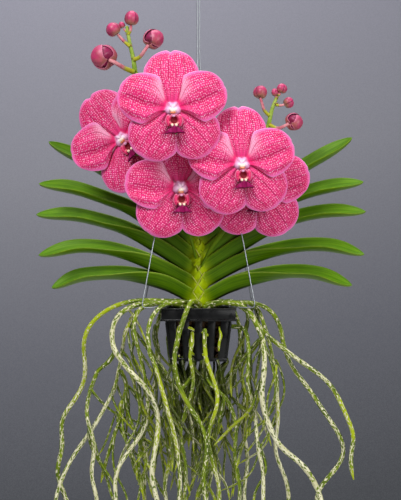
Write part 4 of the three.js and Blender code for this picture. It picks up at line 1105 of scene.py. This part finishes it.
# ---- spikes ----------------------------------------------------------------------------------
# Each spike: its main stem, the stalk of every flower, and its buds.  A bud is the route of its
# stalk, its middle, width and length, and the angle at which it opens if it is about to.
SPIKES = {
    "left": dict(
        rachis=[(-2.6, -8, 53), (-8, -20, 74), (-18, -32, 100), (-32, -39, 140), (-46, -42, 178),
                (-60, -42, 220), (-68, -40, 254), (-70, -40, 268), (-73, -40, 281),
                (-75, -40, 291), (-77, -40, 304)],
        stalks={"a": [(-65, -42, 238), (-55, -58, 242), (-41, -76, 234)],
                "b": [(-50, -42, 190), (-61, -34, 190)],
                "c": [(-40, -41, 160), (-31, -46, 152)]},
        buds=[([(-68, -41, 253.5), (-79, -46, 257.5), (-89, -50, 263), (-96, -47, 266.5)],
               (-101.5, -41, 270.5), 26.5, 26.5, 70),
              ([(-73, -41, 281), (-80, -42, 287), (-87.5, -43, 295)], (-91.5, -42.5, 299.5), 15, 15.5, None),
              ([(-77, -40, 297), (-81, -40, 301)], (-82.5, -40, 304.5), 7, 7.5, None),
              ([(-76, -40, 294), (-73, -42, 299), (-72.5, -42, 305)], (-72, -41.5, 311.5), 14.5, 17, None),
              ([(-70, -41, 267), (-63, -46, 269.5), (-57.5, -50, 276), (-53.5, -48.5, 282.5)],
               (-48.5, -42, 289.5), 20.5, 22.5, 92)]),
    "right": dict(
        rachis=[(2.6, -8.4, 44), (13, -17, 64), (30, -24, 88), (46, -26, 112), (59, -26, 140),
                (69, -29, 170), (75, -33, 194), (79, -35, 213), (83, -35, 224), (85.5, -35, 230)],
        stalks={"d": [(74, -33, 192), (70, -48, 196), (62, -66, 188)],
                "e": [(56, -26, 132), (60, -30, 131)]},
        buds=[([(77, -35, 207), (71, -38, 213), (68, -39, 222), (66.5, -38, 227)],
               (66.8, -36, 232.5), 14.5, 15, None),
              ([(84, -36, 226), (83, -36, 229.5)], (82.5, -35.5, 232.5), 7.6, 9, None),
              ([(86, -36, 229), (88.5, -37, 232.5)], (89.8, -36.5, 236.5), 11, 11.4, None),
              ([(83, -36, 219), (89, -38, 218.5), (93, -38.5, 219.5)], (97, -37, 221.5), 11.4, 11.6, None),
              ([(76, -34, 198), (85, -42, 193.5), (92, -45.5, 195.5), (97, -44.5, 198.5)],
               (102.8, -38, 201), 18, 19, 117)]),
}


def along_axis(centre, direction):
    """A frame whose z runs in the given direction."""
    turn = Vector(direction).to_track_quat("Z", "Y").to_matrix().to_4x4()
    return Matrix.Translation(centre) @ turn


def dented(polar, parted):
    """How far a bud is pushed in at the stalk, as a share of half its length."""
    return (0.34 if parted else 0.2) * math.exp(-(polar / 0.55) ** 2)


def bud_sepal(width, length, turn, reach, parted):
    """A sepal from its narrow foot at the stalk to the bud's tip; one edge lies over the next
    sepal and the other under it.  reach is half its breadth, in degrees round the bud."""
    foot, full, swell, green = (24, 0.62, 0.15, 0.4) if parted else (50, 0.15, 0.11, 0.8)

    def place(u, v):
        side = 2 * u - 1
        outer = abs(side)
        polar = math.radians(mix(9, 178, v))
        spread = math.radians(mix(foot, reach, rise(0.0, full, v)))
        angle = turn + side * spread
        bulge = swell * (1 - side * side) + 0.04 * math.exp(-(side / 0.16) ** 2)
        lift = 0.95 + 0.06 * side + bulge * math.sin(polar)
        if parted:
            lift += 0.07 * rise(0.75, 1, outer) * (1 - rise(0.45, 0.65, v))
        ring = math.sin(polar) * lift * width / 2
        z = (-math.cos(polar) * mix(1, lift, 0.5) + dented(polar, parted)) * length / 2
        marks = {
            # painted shade along the seams, where one sepal lies over the next
            "dark": 0.9 * rise(0.80, 0.96, outer) * (0 if parted and v < 0.6 else 1),
            "pink": 0.9 * rise(0.35, 0.8, v),
            # a painted highlight along the edges of sepals that part
            "rim": (0.55 * rise(0.55, 0.95, outer) * (1 - rise(0.45, 0.65, v)) if parted
                    else 0.0),
            "green": green * (1 - rise(0.05, 0.45, v)),
        }
        point = Vector((math.cos(angle) * ring, math.sin(angle) * ring, z))
        return point, (side * 6, v * 12), marks

    return thicken(sheet(22, 24, place), 0.6)


def bud(width, length, entry, opening):
    """Three sepals shut over each other round the inner petals; the stalk goes in at a dimple.

    In a bud that is about to open, two sepals part at the angle given as its opening, and the
    inner petals show between them."""
    parted = opening is not None

    def shape(point):
        polar = math.acos(max(-1, min(1, -point.z)))
        return Vector((point.x, point.y, point.z + dented(polar, parted)))

    core = ball((0, 0, 0), (width * 0.43, width * 0.43, length * 0.43), 28, 20, shape)
    # painted shade over the inner petals that show between the sepals
    marked(core, dark=0.75, pink=0.6, green=0.0, rim=0.0)
    bmesh.ops.recalc_face_normals(core, faces=core.faces)
    sepals = ((-5, 66), (115, 66), (235, 66))
    if parted:
        sepals = ((opening - 85, 84), (opening + 85, 84), (opening + 180, 66))
    whole = together([core, *(bud_sepal(width, length, math.radians(turn), reach, parted)
                              for turn, reach in sepals)])
    whole.transform(along_axis((0, 0, 0), entry))
    return whole


def bract(route):
    """The small dry scale at the foot of a stalk."""
    def place(u, v):
        side = 2 * u - 1
        half = 2.2 * math.sqrt(max(0, 1 - v ** 1.6))
        point = Vector((side * half, 2.0 + 0.9 * v - 0.8 * side * side, 4.2 * v - 1.0))
        return point, (side, v * 3), {"rosy": 0.2, "yellow": 0.3, "scale": 0.9}

    bm = thicken(sheet(6, 6, place), 0.5)
    bm.transform(along_axis(route[0], Vector(route[1]) - Vector(route[0])))
    return bm


def spike(name, rachis, stalks, buds):
    node = f"spike_{name}"

    def rod_radius(share):
        return mix(2.9, 1.9, rise(0.72, 1, share)) * mix(0.5, 1, rise(0.06, 0.2, share))

    def rod_marks(share):
        # painted shade darkens the lowest part of the spike
        return {"rosy": 0.10 * rise(0.8, 1, share), "yellow": 0.0, "scale": 0.0,
                "deep": 1 - rise(0.20, 0.40, share)}

    def stalk_marks(share):
        return {"rosy": rise(0.30, 0.50, share), "scale": 0.0, "deep": 0.0,
                "yellow": rise(0.0, 0.12, share) * (1 - rise(0.30, 0.46, share))}

    def ribs(angle, share):
        return 1 + 0.10 * math.cos(6 * angle + 5 * share) * rise(0.3, 0.8, share)

    parts = [tube(smooth_line(rachis, 2.5), rod_radius, 14, rod_marks)]
    for flower_name, route in stalks.items():
        place = flower_frame(**FLOWERS[flower_name])
        ends = [place @ Vector((0, 0, z)) for z in (-13, -5, -0.3)]
        stalk = smooth_line([*route, *ends], 1.5)
        parts.append(tube(stalk, lambda share: mix(2.0, 2.5, share), 18, stalk_marks, ribs))
        parts.append(bract(route))
    for number, (route, centre, width, length, opening) in enumerate(buds, 1):
        size = 0.70 + 0.055 * width
        parts.append(tube(smooth_line(route, 1.0),
                          lambda share: size * mix(1.35, 0.92, share ** 0.7), 12, stalk_marks))
        parts.append(bract(route))
        made = bud(width, length, Vector(centre) - Vector(route[-1]), opening)
        made.transform(Matrix.Translation(centre))
        piece(f"{node}_bud_{number}", made, BUD, "spike", node)
    piece(f"{node}_stalks", together(parts), STALK, "spike", node)


# ---- aerial roots ----------------------------------------------------------------------------
# Each root: the node that it stands for, its radius, how dry its felt is, and its route.
ROOTS = [
    ("root_left_1", 2.5, 0.25, [
        (-6.7, -2.3, 3), (-22, -8, 6), (-38, -11, 7), (-60, -12, 8), (-80, -11, 6), (-100, -10, -2),
        (-118, -8, -17), (-127, -8, -36), (-124, -5, -62), (-125, -4, -84), (-138, -4, -105),
        (-152, -4, -124), (-148, -4, -154), (-157, -4, -180), (-146, -4, -208), (-138, -5, -236),
        (-142, -6, -262)]),
    ("root_left_2", 2.8, 0.6, [
        (-4.1, -6.8, 4), (-20, -17, 5), (-41, -22, 5), (-62, -23, 5), (-80, -26, 0), (-91, -29, -12),
        (-95, -31, -26), (-92, -34, -42), (-80, -40, -61), (-62, -47, -78), (-48, -51, -96),
        (-42, -52, -120), (-46, -52, -149), (-51, -52, -178), (-44, -52, -204), (-40, -50, -236),
        (-46, -49, -268), (-40, -48, -298)]),
    ("root_left_2", 2.2, 0.75, [
        (-89, -35, -46), (-97, -30, -58), (-110, -24, -70), (-118, -21, -92), (-123, -20, -116),
        (-112, -20, -150), (-118, -20, -182), (-109, -20, -209), (-112, -21, -240), (-106, -22, -262)]),
    ("root_left_3", 2.2, 0.6, [
        (-6.5, 3.2, 3), (-22, 0, 4), (-42, -6, 4.5), (-58, -13, 3), (-71, -16, -6), (-77, -16, -22),
        (-83, -16, -42), (-85, -14, -68), (-97, -12, -98), (-114, -12, -130), (-138, -12, -164),
        (-152, -14, -194), (-158, -14, -222), (-152, -14, -244)]),
    ("root_left_3", 2.1, 0.5, [
        (-85, -14, -68), (-79, -9, -86), (-84, -5, -107), (-92, -4, -140), (-102, -4, -170),
        (-107, -4, -193)]),
    ("root_left_4", 2.3, 0.4, [
        (-4, -6.8, -2.4), (-18, -22, 1.6), (-38, -32, 6), (-54, -35, 6), (-66, -35, 0), (-71, -38, -16),
        (-66, -42, -38), (-58, -43, -70), (-55, -39, -98), (-55, -36, -125), (-72, -36, -150),
        (-91, -36, -180), (-88, -36, -208), (-92, -36, -240)]),
    ("root_left_5", 2.3, 0.3, [
        (0.4, -9.4, -3), (-6, -22, 4), (-20, -38, 7), (-34, -44, 7), (-44, -49, 2), (-52, -52, -12),
        (-56, -54, -27), (-47, -59, -54), (-40, -60, -82), (-33, -60, -106), (-24, -60, -141),
        (-19, -60, -185), (-22, -58, -214), (-16, -56, -250)]),
    ("root_front_left", 2.6, 0.12, [
        (1.8, -9, 3.2), (-2, -26, 6.5), (-8, -41, 6.5), (-13, -49.5, -2), (-19, -51, -20),
        (-25, -50, -44), (-28, -49, -66), (-20, -48, -86), (-8, -50, -108), (4, -50, -124),
        (10, -50, -150), (4, -50, -184), (10, -49, -214), (4, -48, -246)]),
    ("root_front_bark_left", 1.9, 0.3, [
        (-6.8, -30, -26), (-6.8, -35, -29), (-6.8, -41, -37), (-9, -43, -54), (-4, -42, -74),
        (-12, -40, -104), (-20, -40, -138), (-12, -41, -172), (-16, -42, -204), (-10, -42, -230)]),
    ("root_front_bark_right", 2.2, 0.25, [
        (6.8, -30.2, -23), (6.8, -36, -27), (6.6, -42.5, -37), (9, -45, -58), (16, -46, -76),
        (22, -46, -92), (20, -46, -108), (9, -46, -136), (16, -46, -168), (24, -46, -200),
        (18, -46, -230), (24, -46, -262)]),
    ("root_right_1", 2.5, 0.35, [
        (6.6, -2.6, 2.4), (21, -12, 5), (38, -20, 6), (54, -22, -3), (68, -20, -24), (90, -16, -43),
        (114, -12, -61), (141, -8, -80), (153, -8, -98), (163, -8, -122), (172, -8, -142),
        (165, -8, -165), (170, -8, -189)]),
    ("root_right_2", 2.5, 0.35, [
        (6.6, 2.8, 3), (24, 0, 5), (44, -6, 5), (66, -7, 5), (82, -4, -5), (91, -1, -22), (93, 2, -42),
        (103, 2, -67), (122, 4, -90), (137, 4, -114), (158, 4, -145), (162, 4, -164), (143, 4, -188),
        (128, 4, -209), (134, 4, -236), (124, 4, -262)]),
    ("root_right_3", 2.2, 0.45, [
        (4.2, 6.8, 3), (22, 12, 5), (44, 9, 5), (62, 5, 4), (71, 6, -12), (74, 4, -34), (85, 0, -59),
        (86, -2, -96), (88, -2, -126), (83, -2, -158), (96, -2, -188), (100, -2, -214),
        (94, -2, -240)]),
    ("root_right_4", 2.9, 0.65, [
        (4.8, -6.5, -2.2), (20, -24, 4), (35, -36, 6), (47, -41, 5.6), (57, -46, -5), (64, -50, -20),
        (70, -53, -38), (70, -54, -66), (65, -54, -92), (73, -54, -118), (86, -51, -147),
        (113, -47, -168), (129, -44, -196), (134, -44, -214), (128, -43, -244)]),
    ("root_right_bark", 2.1, 0.5, [
        (30.8, -21.1, -20), (38, -21.1, -20.4), (46.5, -21.8, -21.6), (52, -32, -28), (55, -47, -46),
        (52, -46, -68), (54, -44, -90), (62, -44, -112), (62, -44, -142), (70, -44, -176),
        (69, -44, -208), (74, -44, -244)]),
    ("root_base_left", 2.2, 0.35, [
        (-6.1, -16, -54), (-6.1, -16, -62), (-6.6, -16, -71), (-14, -20, -84), (-30, -24, -98),
        (-36, -26, -126), (-28, -24, -158), (-38, -22, -192), (-32, -22, -226), (-38, -22, -262)]),
    ("root_base_left", 1.9, 0.4, [
        (-31, -24, -100), (-48, -20, -116), (-62, -16, -142), (-66, -14, -176), (-60, -12, -208)]),
    ("root_base_right", 2.2, 0.35, [
        (6.1, -16, -54), (6.1, -16, -62), (6.6, -16, -71), (14, -20, -84), (30, -26, -98),
        (42, -28, -128), (38, -26, -160), (46, -24, -194), (42, -24, -230), (48, -22, -276)]),
    ("root_base_right", 1.9, 0.3, [
        (28, -26, -96), (24, -22, -118), (14, -16, -146), (16, -12, -178), (8, -12, -208),
        (12, -10, -240)]),
    ("root_back_left", 2.3, 0.4, [
        (-3.4, 7, 2), (-16, 24, 5), (-30, 38, 5), (-44, 48, -8), (-50, 50, -30), (-44, 46, -62),
        (-52, 38, -98), (-64, 30, -132), (-56, 24, -168), (-62, 20, -206), (-54, 18, -240)]),
    ("root_back_left", 2.0, 0.4, [
        (-45, 46, -64), (-32, 42, -84), (-24, 34, -114), (-28, 26, -150), (-20, 20, -188),
        (-24, 16, -226)]),
    ("root_back_right", 2.3, 0.4, [
        (0.8, 9.3, -2.8), (15, 26, 4), (30, 39, 5), (42, 48, -8), (48, 52, -32), (44, 48, -64),
        (54, 40, -100), (48, 34, -134), (56, 28, -170), (50, 22, -206), (56, 20, -250)]),
    ("root_back_right", 2.0, 0.35, [
        (45, 48, -66), (30, 44, -84), (18, 34, -112), (10, 26, -150), (4, 20, -190), (0, 16, -222)]),
]
# Short green roots that show between the slats at the front.
STUBS = [
    [(-17, -30, -22), (-12, -33.5, -21), (-6, -34, -23), (-3, -30, -26)],
    [(2.5, -31, -27), (5, -34, -26), (9, -34, -29), (13, -30, -30)],
    [(-21, -32, -19), (-22.4, -33.8, -27), (-22, -32.4, -36), (-22, -30.4, -46)],
    [(22.6, -32, -20), (24.4, -33.8, -29), (22.6, -32.2, -38), (22.6, -30.2, -52)],
    [(-12, -28, -44), (-9, -31.4, -46), (-6, -31.2, -50), (-3, -27, -51)],
    [(3.8, -29, -34), (6, -32.4, -37), (7.4, -31.4, -45), (5, -28, -54)],
    [(-9.6, -30, -31), (-8.5, -32.8, -34), (-9.5, -31.4, -42), (-8, -28, -50)],
    [(3.5, -28, -52), (6.5, -30.6, -50), (9.3, -30, -53), (9, -27, -56)],
    [(-23.6, -28, -50), (-21.8, -30.4, -51), (-20.8, -29, -54)],
]
ROOT_FORKS, FLOOR_ROOTS = 96, 56
ROOT_SPACING, ROOT_STEP = 5, 2.6  # between the points of a route, before and after it settles
TIP_LENGTH, THICK_ROOT, ROOT_GAP = 15, 1.85, 0.5
NEIGHBOUR_REACH = 6.5  # further apart than this, two points never touch
HELD_IN_ROOT, HELD_IN_FORK = 8, 1  # the points at a start that settling leaves in place
FLOOR_GAPS = (-20, -6.1, 6.1, 20)  # the openings of the basket's floor, from left to right
STRIDE = 12  # how far a wandering root grows between two bends
BACK_WIRES = 51.2  # no root lies further back than this
UNFORKED = ("root_left_1", "root_right_1", "root_right_2")


def wander(chance, start, depth, length, pull, lowest):
    """The points of a root that grows down from start and meanders.

    It drifts towards the given depth, is pulled in towards the middle, and ends at its length
    or at its lowest height."""
    point, heading = Vector(start), chance.uniform(-0.5, 0.5)
    points = [point.copy()]
    while len(points) * STRIDE < length and point.z > lowest:
        heading = heading * 0.70 + chance.uniform(-0.50, 0.50) - pull * point.x * chance.random()
        point = point + Vector((math.sin(heading) * STRIDE,
                                (depth - point.y) * 0.12 + chance.uniform(-2, 2),
                                -math.cos(heading) * STRIDE))
        point.x = max(-146, min(150, point.x))
        points.append(point.copy())
    return points


def fork_routes():
    """Thinner roots: some branch from the others, some leave through the basket's floor."""
    chance = random.Random(12)
    parents = [root for root in ROOTS if root[0] not in UNFORKED]
    routes = []
    for _ in range(ROOT_FORKS):
        node, _, _, route = chance.choice(parents)
        line = smooth_line(route, 6)
        start = line[chance.randrange(len(line) // 6, len(line) * 3 // 5)]
        points = wander(chance, start, chance.uniform(-44, 38), chance.uniform(80, 190), 0.004,
                        chance.uniform(-255, -130))
        if len(points) > 4:
            routes.append((node, chance.uniform(1.1, 1.7), chance.uniform(0.15, 0.6), points))
    for number in range(FLOOR_ROOTS):
        across = FLOOR_GAPS[number % 4] + chance.uniform(-1.7, 1.7)
        depth = chance.uniform(-24, 24)
        top = [(across * 0.9, depth, -53), (across, depth, -60)]
        points = wander(chance, (across + chance.uniform(-6, 6), depth, -69),
                        chance.uniform(-30, 34), chance.uniform(50, 165), 0.001,
                        chance.uniform(-225, -105))
        node = "root_base_left" if across < 0 else "root_base_right"
        routes.append((node, chance.uniform(1.1, 1.6), chance.uniform(0.05, 0.4), top + points))
    return routes


def keep_off_basket(point, radius):
    """Roots lie on the rim and outside the walls and floor of the basket."""
    point.y = min(point.y, BACK_WIRES)
    reach = max(abs(point.x), abs(point.y))
    clear = radius + 1.0
    if point.z > -4 and reach < RIM_HALF + clear:
        point.z = max(point.z, clear)
    elif -BASKET_DEPTH - clear < point.z <= 0 and reach > 12:
        wall = (RIM_HALF if point.z > -RIM_HEIGHT - clear else wall_half(point.z)) + clear
        axis = 0 if abs(point.x) > abs(point.y) else 1
        point[axis] = math.copysign(max(abs(point[axis]), wall), point[axis])


def settle(strands, rounds):
    """Moves crossing strands apart, mostly in depth, and off the basket."""
    held = [HELD_IN_ROOT if index < len(ROOTS) else HELD_IN_FORK for index in range(len(strands))]
    where = [(index, step) for index, (_, _, _, line) in enumerate(strands)
             for step in range(len(line))]
    for _ in range(rounds):
        tree = kdtree.KDTree(len(where))
        for number, (index, step) in enumerate(where):
            tree.insert(strands[index][3][step], number)
        tree.balance()
        for index, step in where:
            _, radius, _, line = strands[index]
            if step < held[index]:
                continue
            for other_place, number, distance in tree.find_range(line[step], NEIGHBOUR_REACH):
                other = where[number][0]
                room = radius + strands[other][1] + ROOT_GAP
                if other == index or distance >= room:
                    continue
                away = line[step] - other_place
                away = Vector((away.x * 0.3, away.y or (0.1 if index > other else -0.1),
                               away.z * 0.2))
                line[step] += away.normalized() * (room - distance) * 0.4
            keep_off_basket(line[step], radius)
        for index, (_, _, _, line) in enumerate(strands):
            before = [point.copy() for point in line]
            for step in range(held[index], len(line) - 1):
                middle = (before[step - 1] + before[step + 1]) / 2
                line[step] = before[step].lerp(middle, 0.18)


def root(radius, dry, line, seed, damp=0, fresh=0):
    """One root: uneven, kinked a little, with a smooth pointed growing tip."""
    chance = random.Random(seed)
    shift = Vector([chance.uniform(-50, 50) for _ in "xyz"])
    fine = respaced(line, ROOT_STEP)
    length = len(fine) * ROOT_STEP
    tip = min(0.5, TIP_LENGTH / length)

    def size(share):
        lump = 1 + 0.13 * noise.noise(shift + Vector((share * length * 0.10, 0, 0)))
        return (radius * lump * mix(1.15, 1, rise(0, 60 / length, share))
                * mix(1, 0.3, rise(1 - tip, 1, share) ** 1.5))

    def marks(share):
        down = share * length
        height = fine[round(share * (len(fine) - 1))].z
        cloud = noise.noise(shift + Vector((0, down * 0.012, 0)))
        lime = noise.noise(shift + Vector((0, 0, down * 0.012)))
        green_tip = rise(1 - tip, 1 - tip * 0.5, share)
        drier = dry * mix(0.3, 1.6, rise(30, 190, down))
        clouded = drier + mix(0.3, 0.6, rise(30, 120, down)) * cloud
        return {
            "dry": min(1, max(0, clouded)) * (1 - green_tip),
            "fresh": max(green_tip, fresh, 0.9 * rise(0.20, 0.46, lime)),
            # painted shade on roots inside the mass, strongest high up
            "damp": damp * (1 - green_tip) * mix(0.3, 1, rise(-200, -110, height)),
        }

    return tube(fine, size, 9 if radius > THICK_ROOT else 7, marks)


def roots():
    """All the roots; the thin ones near the middle are darkened with painted shade."""
    strands = [[node, radius, dry, smooth_line(route, ROOT_SPACING)]
               for node, radius, dry, route in ROOTS + fork_routes()]
    settle(strands, 30)
    by_node = {}
    for index, (node, radius, dry, line) in enumerate(strands):
        inner = 1 - rise(50, 90, max(abs(point.x) for point in line))
        # the thin roots near the middle get painted shade, where the mass of roots shades them
        damp = 0.62 * inner if index >= len(ROOTS) else 0
        made = root(radius, dry, smooth_line(line, ROOT_STEP), index, damp)
        by_node.setdefault(node, []).append(made)
    for index, route in enumerate(STUBS):
        side = "left" if route[0][0] < 0 else "right"
        stub = root(1.6, 0.1, smooth_line(route, 2), 900 + index, fresh=0.85)
        by_node[f"root_front_bark_{side}"].append(stub)
    for node, parts in by_node.items():
        piece(f"{node}_strands", together(parts), ROOT, "root", node)


# ---- studio, in metres -----------------------------------------------------------------------
FLOOR_LEVEL = -1.3
WALL_PLACE = (0, 4.4, FLOOR_LEVEL + 3)


def studio():
    """A wide pale floor under the plant, and a grey paper wall well behind it."""
    for name, place, stops in (
            ("floor",
             Matrix.Translation((0, 0, FLOOR_LEVEL)) @ Matrix.Diagonal((26, 26, 1, 1)),
             ((0, "#D6D6D8"), (1, "#D6D6D8"))),
            ("backdrop",
             Matrix.Translation(WALL_PLACE) @ Matrix.Rotation(math.pi / 2, 4, "X")
             @ Matrix.Diagonal((16, 6, 1, 1)),
             ((0, "#484A4F"), (0.28, "#5E5F67"), (0.6, "#77777F"), (1, "#7E7D89")))):
        bm = bmesh.new()
        bmesh.ops.create_grid(bm, x_segments=8, y_segments=8, size=0.5, matrix=place)
        paper = studio_paper(f"matt_paper_{name}", stops)
        add_shape(f"studio_{name}", bm, paper, smooth=False)


def light(name, place, aim, size, power):
    lamp = bpy.data.lights.new(name, "AREA")
    lamp.shape, lamp.size, lamp.energy = "DISK", size, power
    made = add_object(name, lamp)
    made.location = place
    made.rotation_euler = (Vector(aim) - Vector(place)).to_track_quat("-Z", "Y").to_euler()
    made.visible_camera = False


def camera():
    lens = bpy.data.cameras.new("camera")
    lens.sensor_fit = "VERTICAL"
    lens.sensor_height = 36
    lens.lens = 117.8
    made = add_object("camera", lens)
    made.location = (0.0022, -1.8, -0.3243)
    made.rotation_euler = (math.radians(90), 0, 0)
    bpy.context.scene.camera = made


camera()
studio()
light("key", (-0.70, -1.35, 1.10), (0, 0, -0.25), 0.9, 37)
light("fill", (1.4, -1.6, 0.15), (0, 0, -0.3), 1.3, 28)
light("top", (0.1, 0.35, 1.3), (0, 0, -0.3), 1.0, 16)
light("wall", (-0.5, 2.2, 1.9), (-0.2, 4.4, -0.4), 1.6, 88)
world = bpy.data.worlds.new("studio_air")
world.use_nodes = True
air = world.node_tree.nodes["Background"].inputs
air["Color"].default_value = colour("#E6EAF0")
air["Strength"].default_value = 0.24
bpy.context.scene.world = world
bpy.context.scene.view_settings.view_transform = "Standard"

basket()
bark_chips()
hanger()
stem()
for number, (name, (points, sweep)) in enumerate(LEAVES.items(), 1):
    leaf(name, points, sweep, len(LEAVES) - number)
for name, (points, sweep) in YOUNG_LEAVES.items():
    leaf(name, points, sweep, 0, YOUNG_SCALE)
for name, facts in FLOWERS.items():
    flower(name, facts)
for name, facts in SPIKES.items():
    spike(name, **facts)
roots()
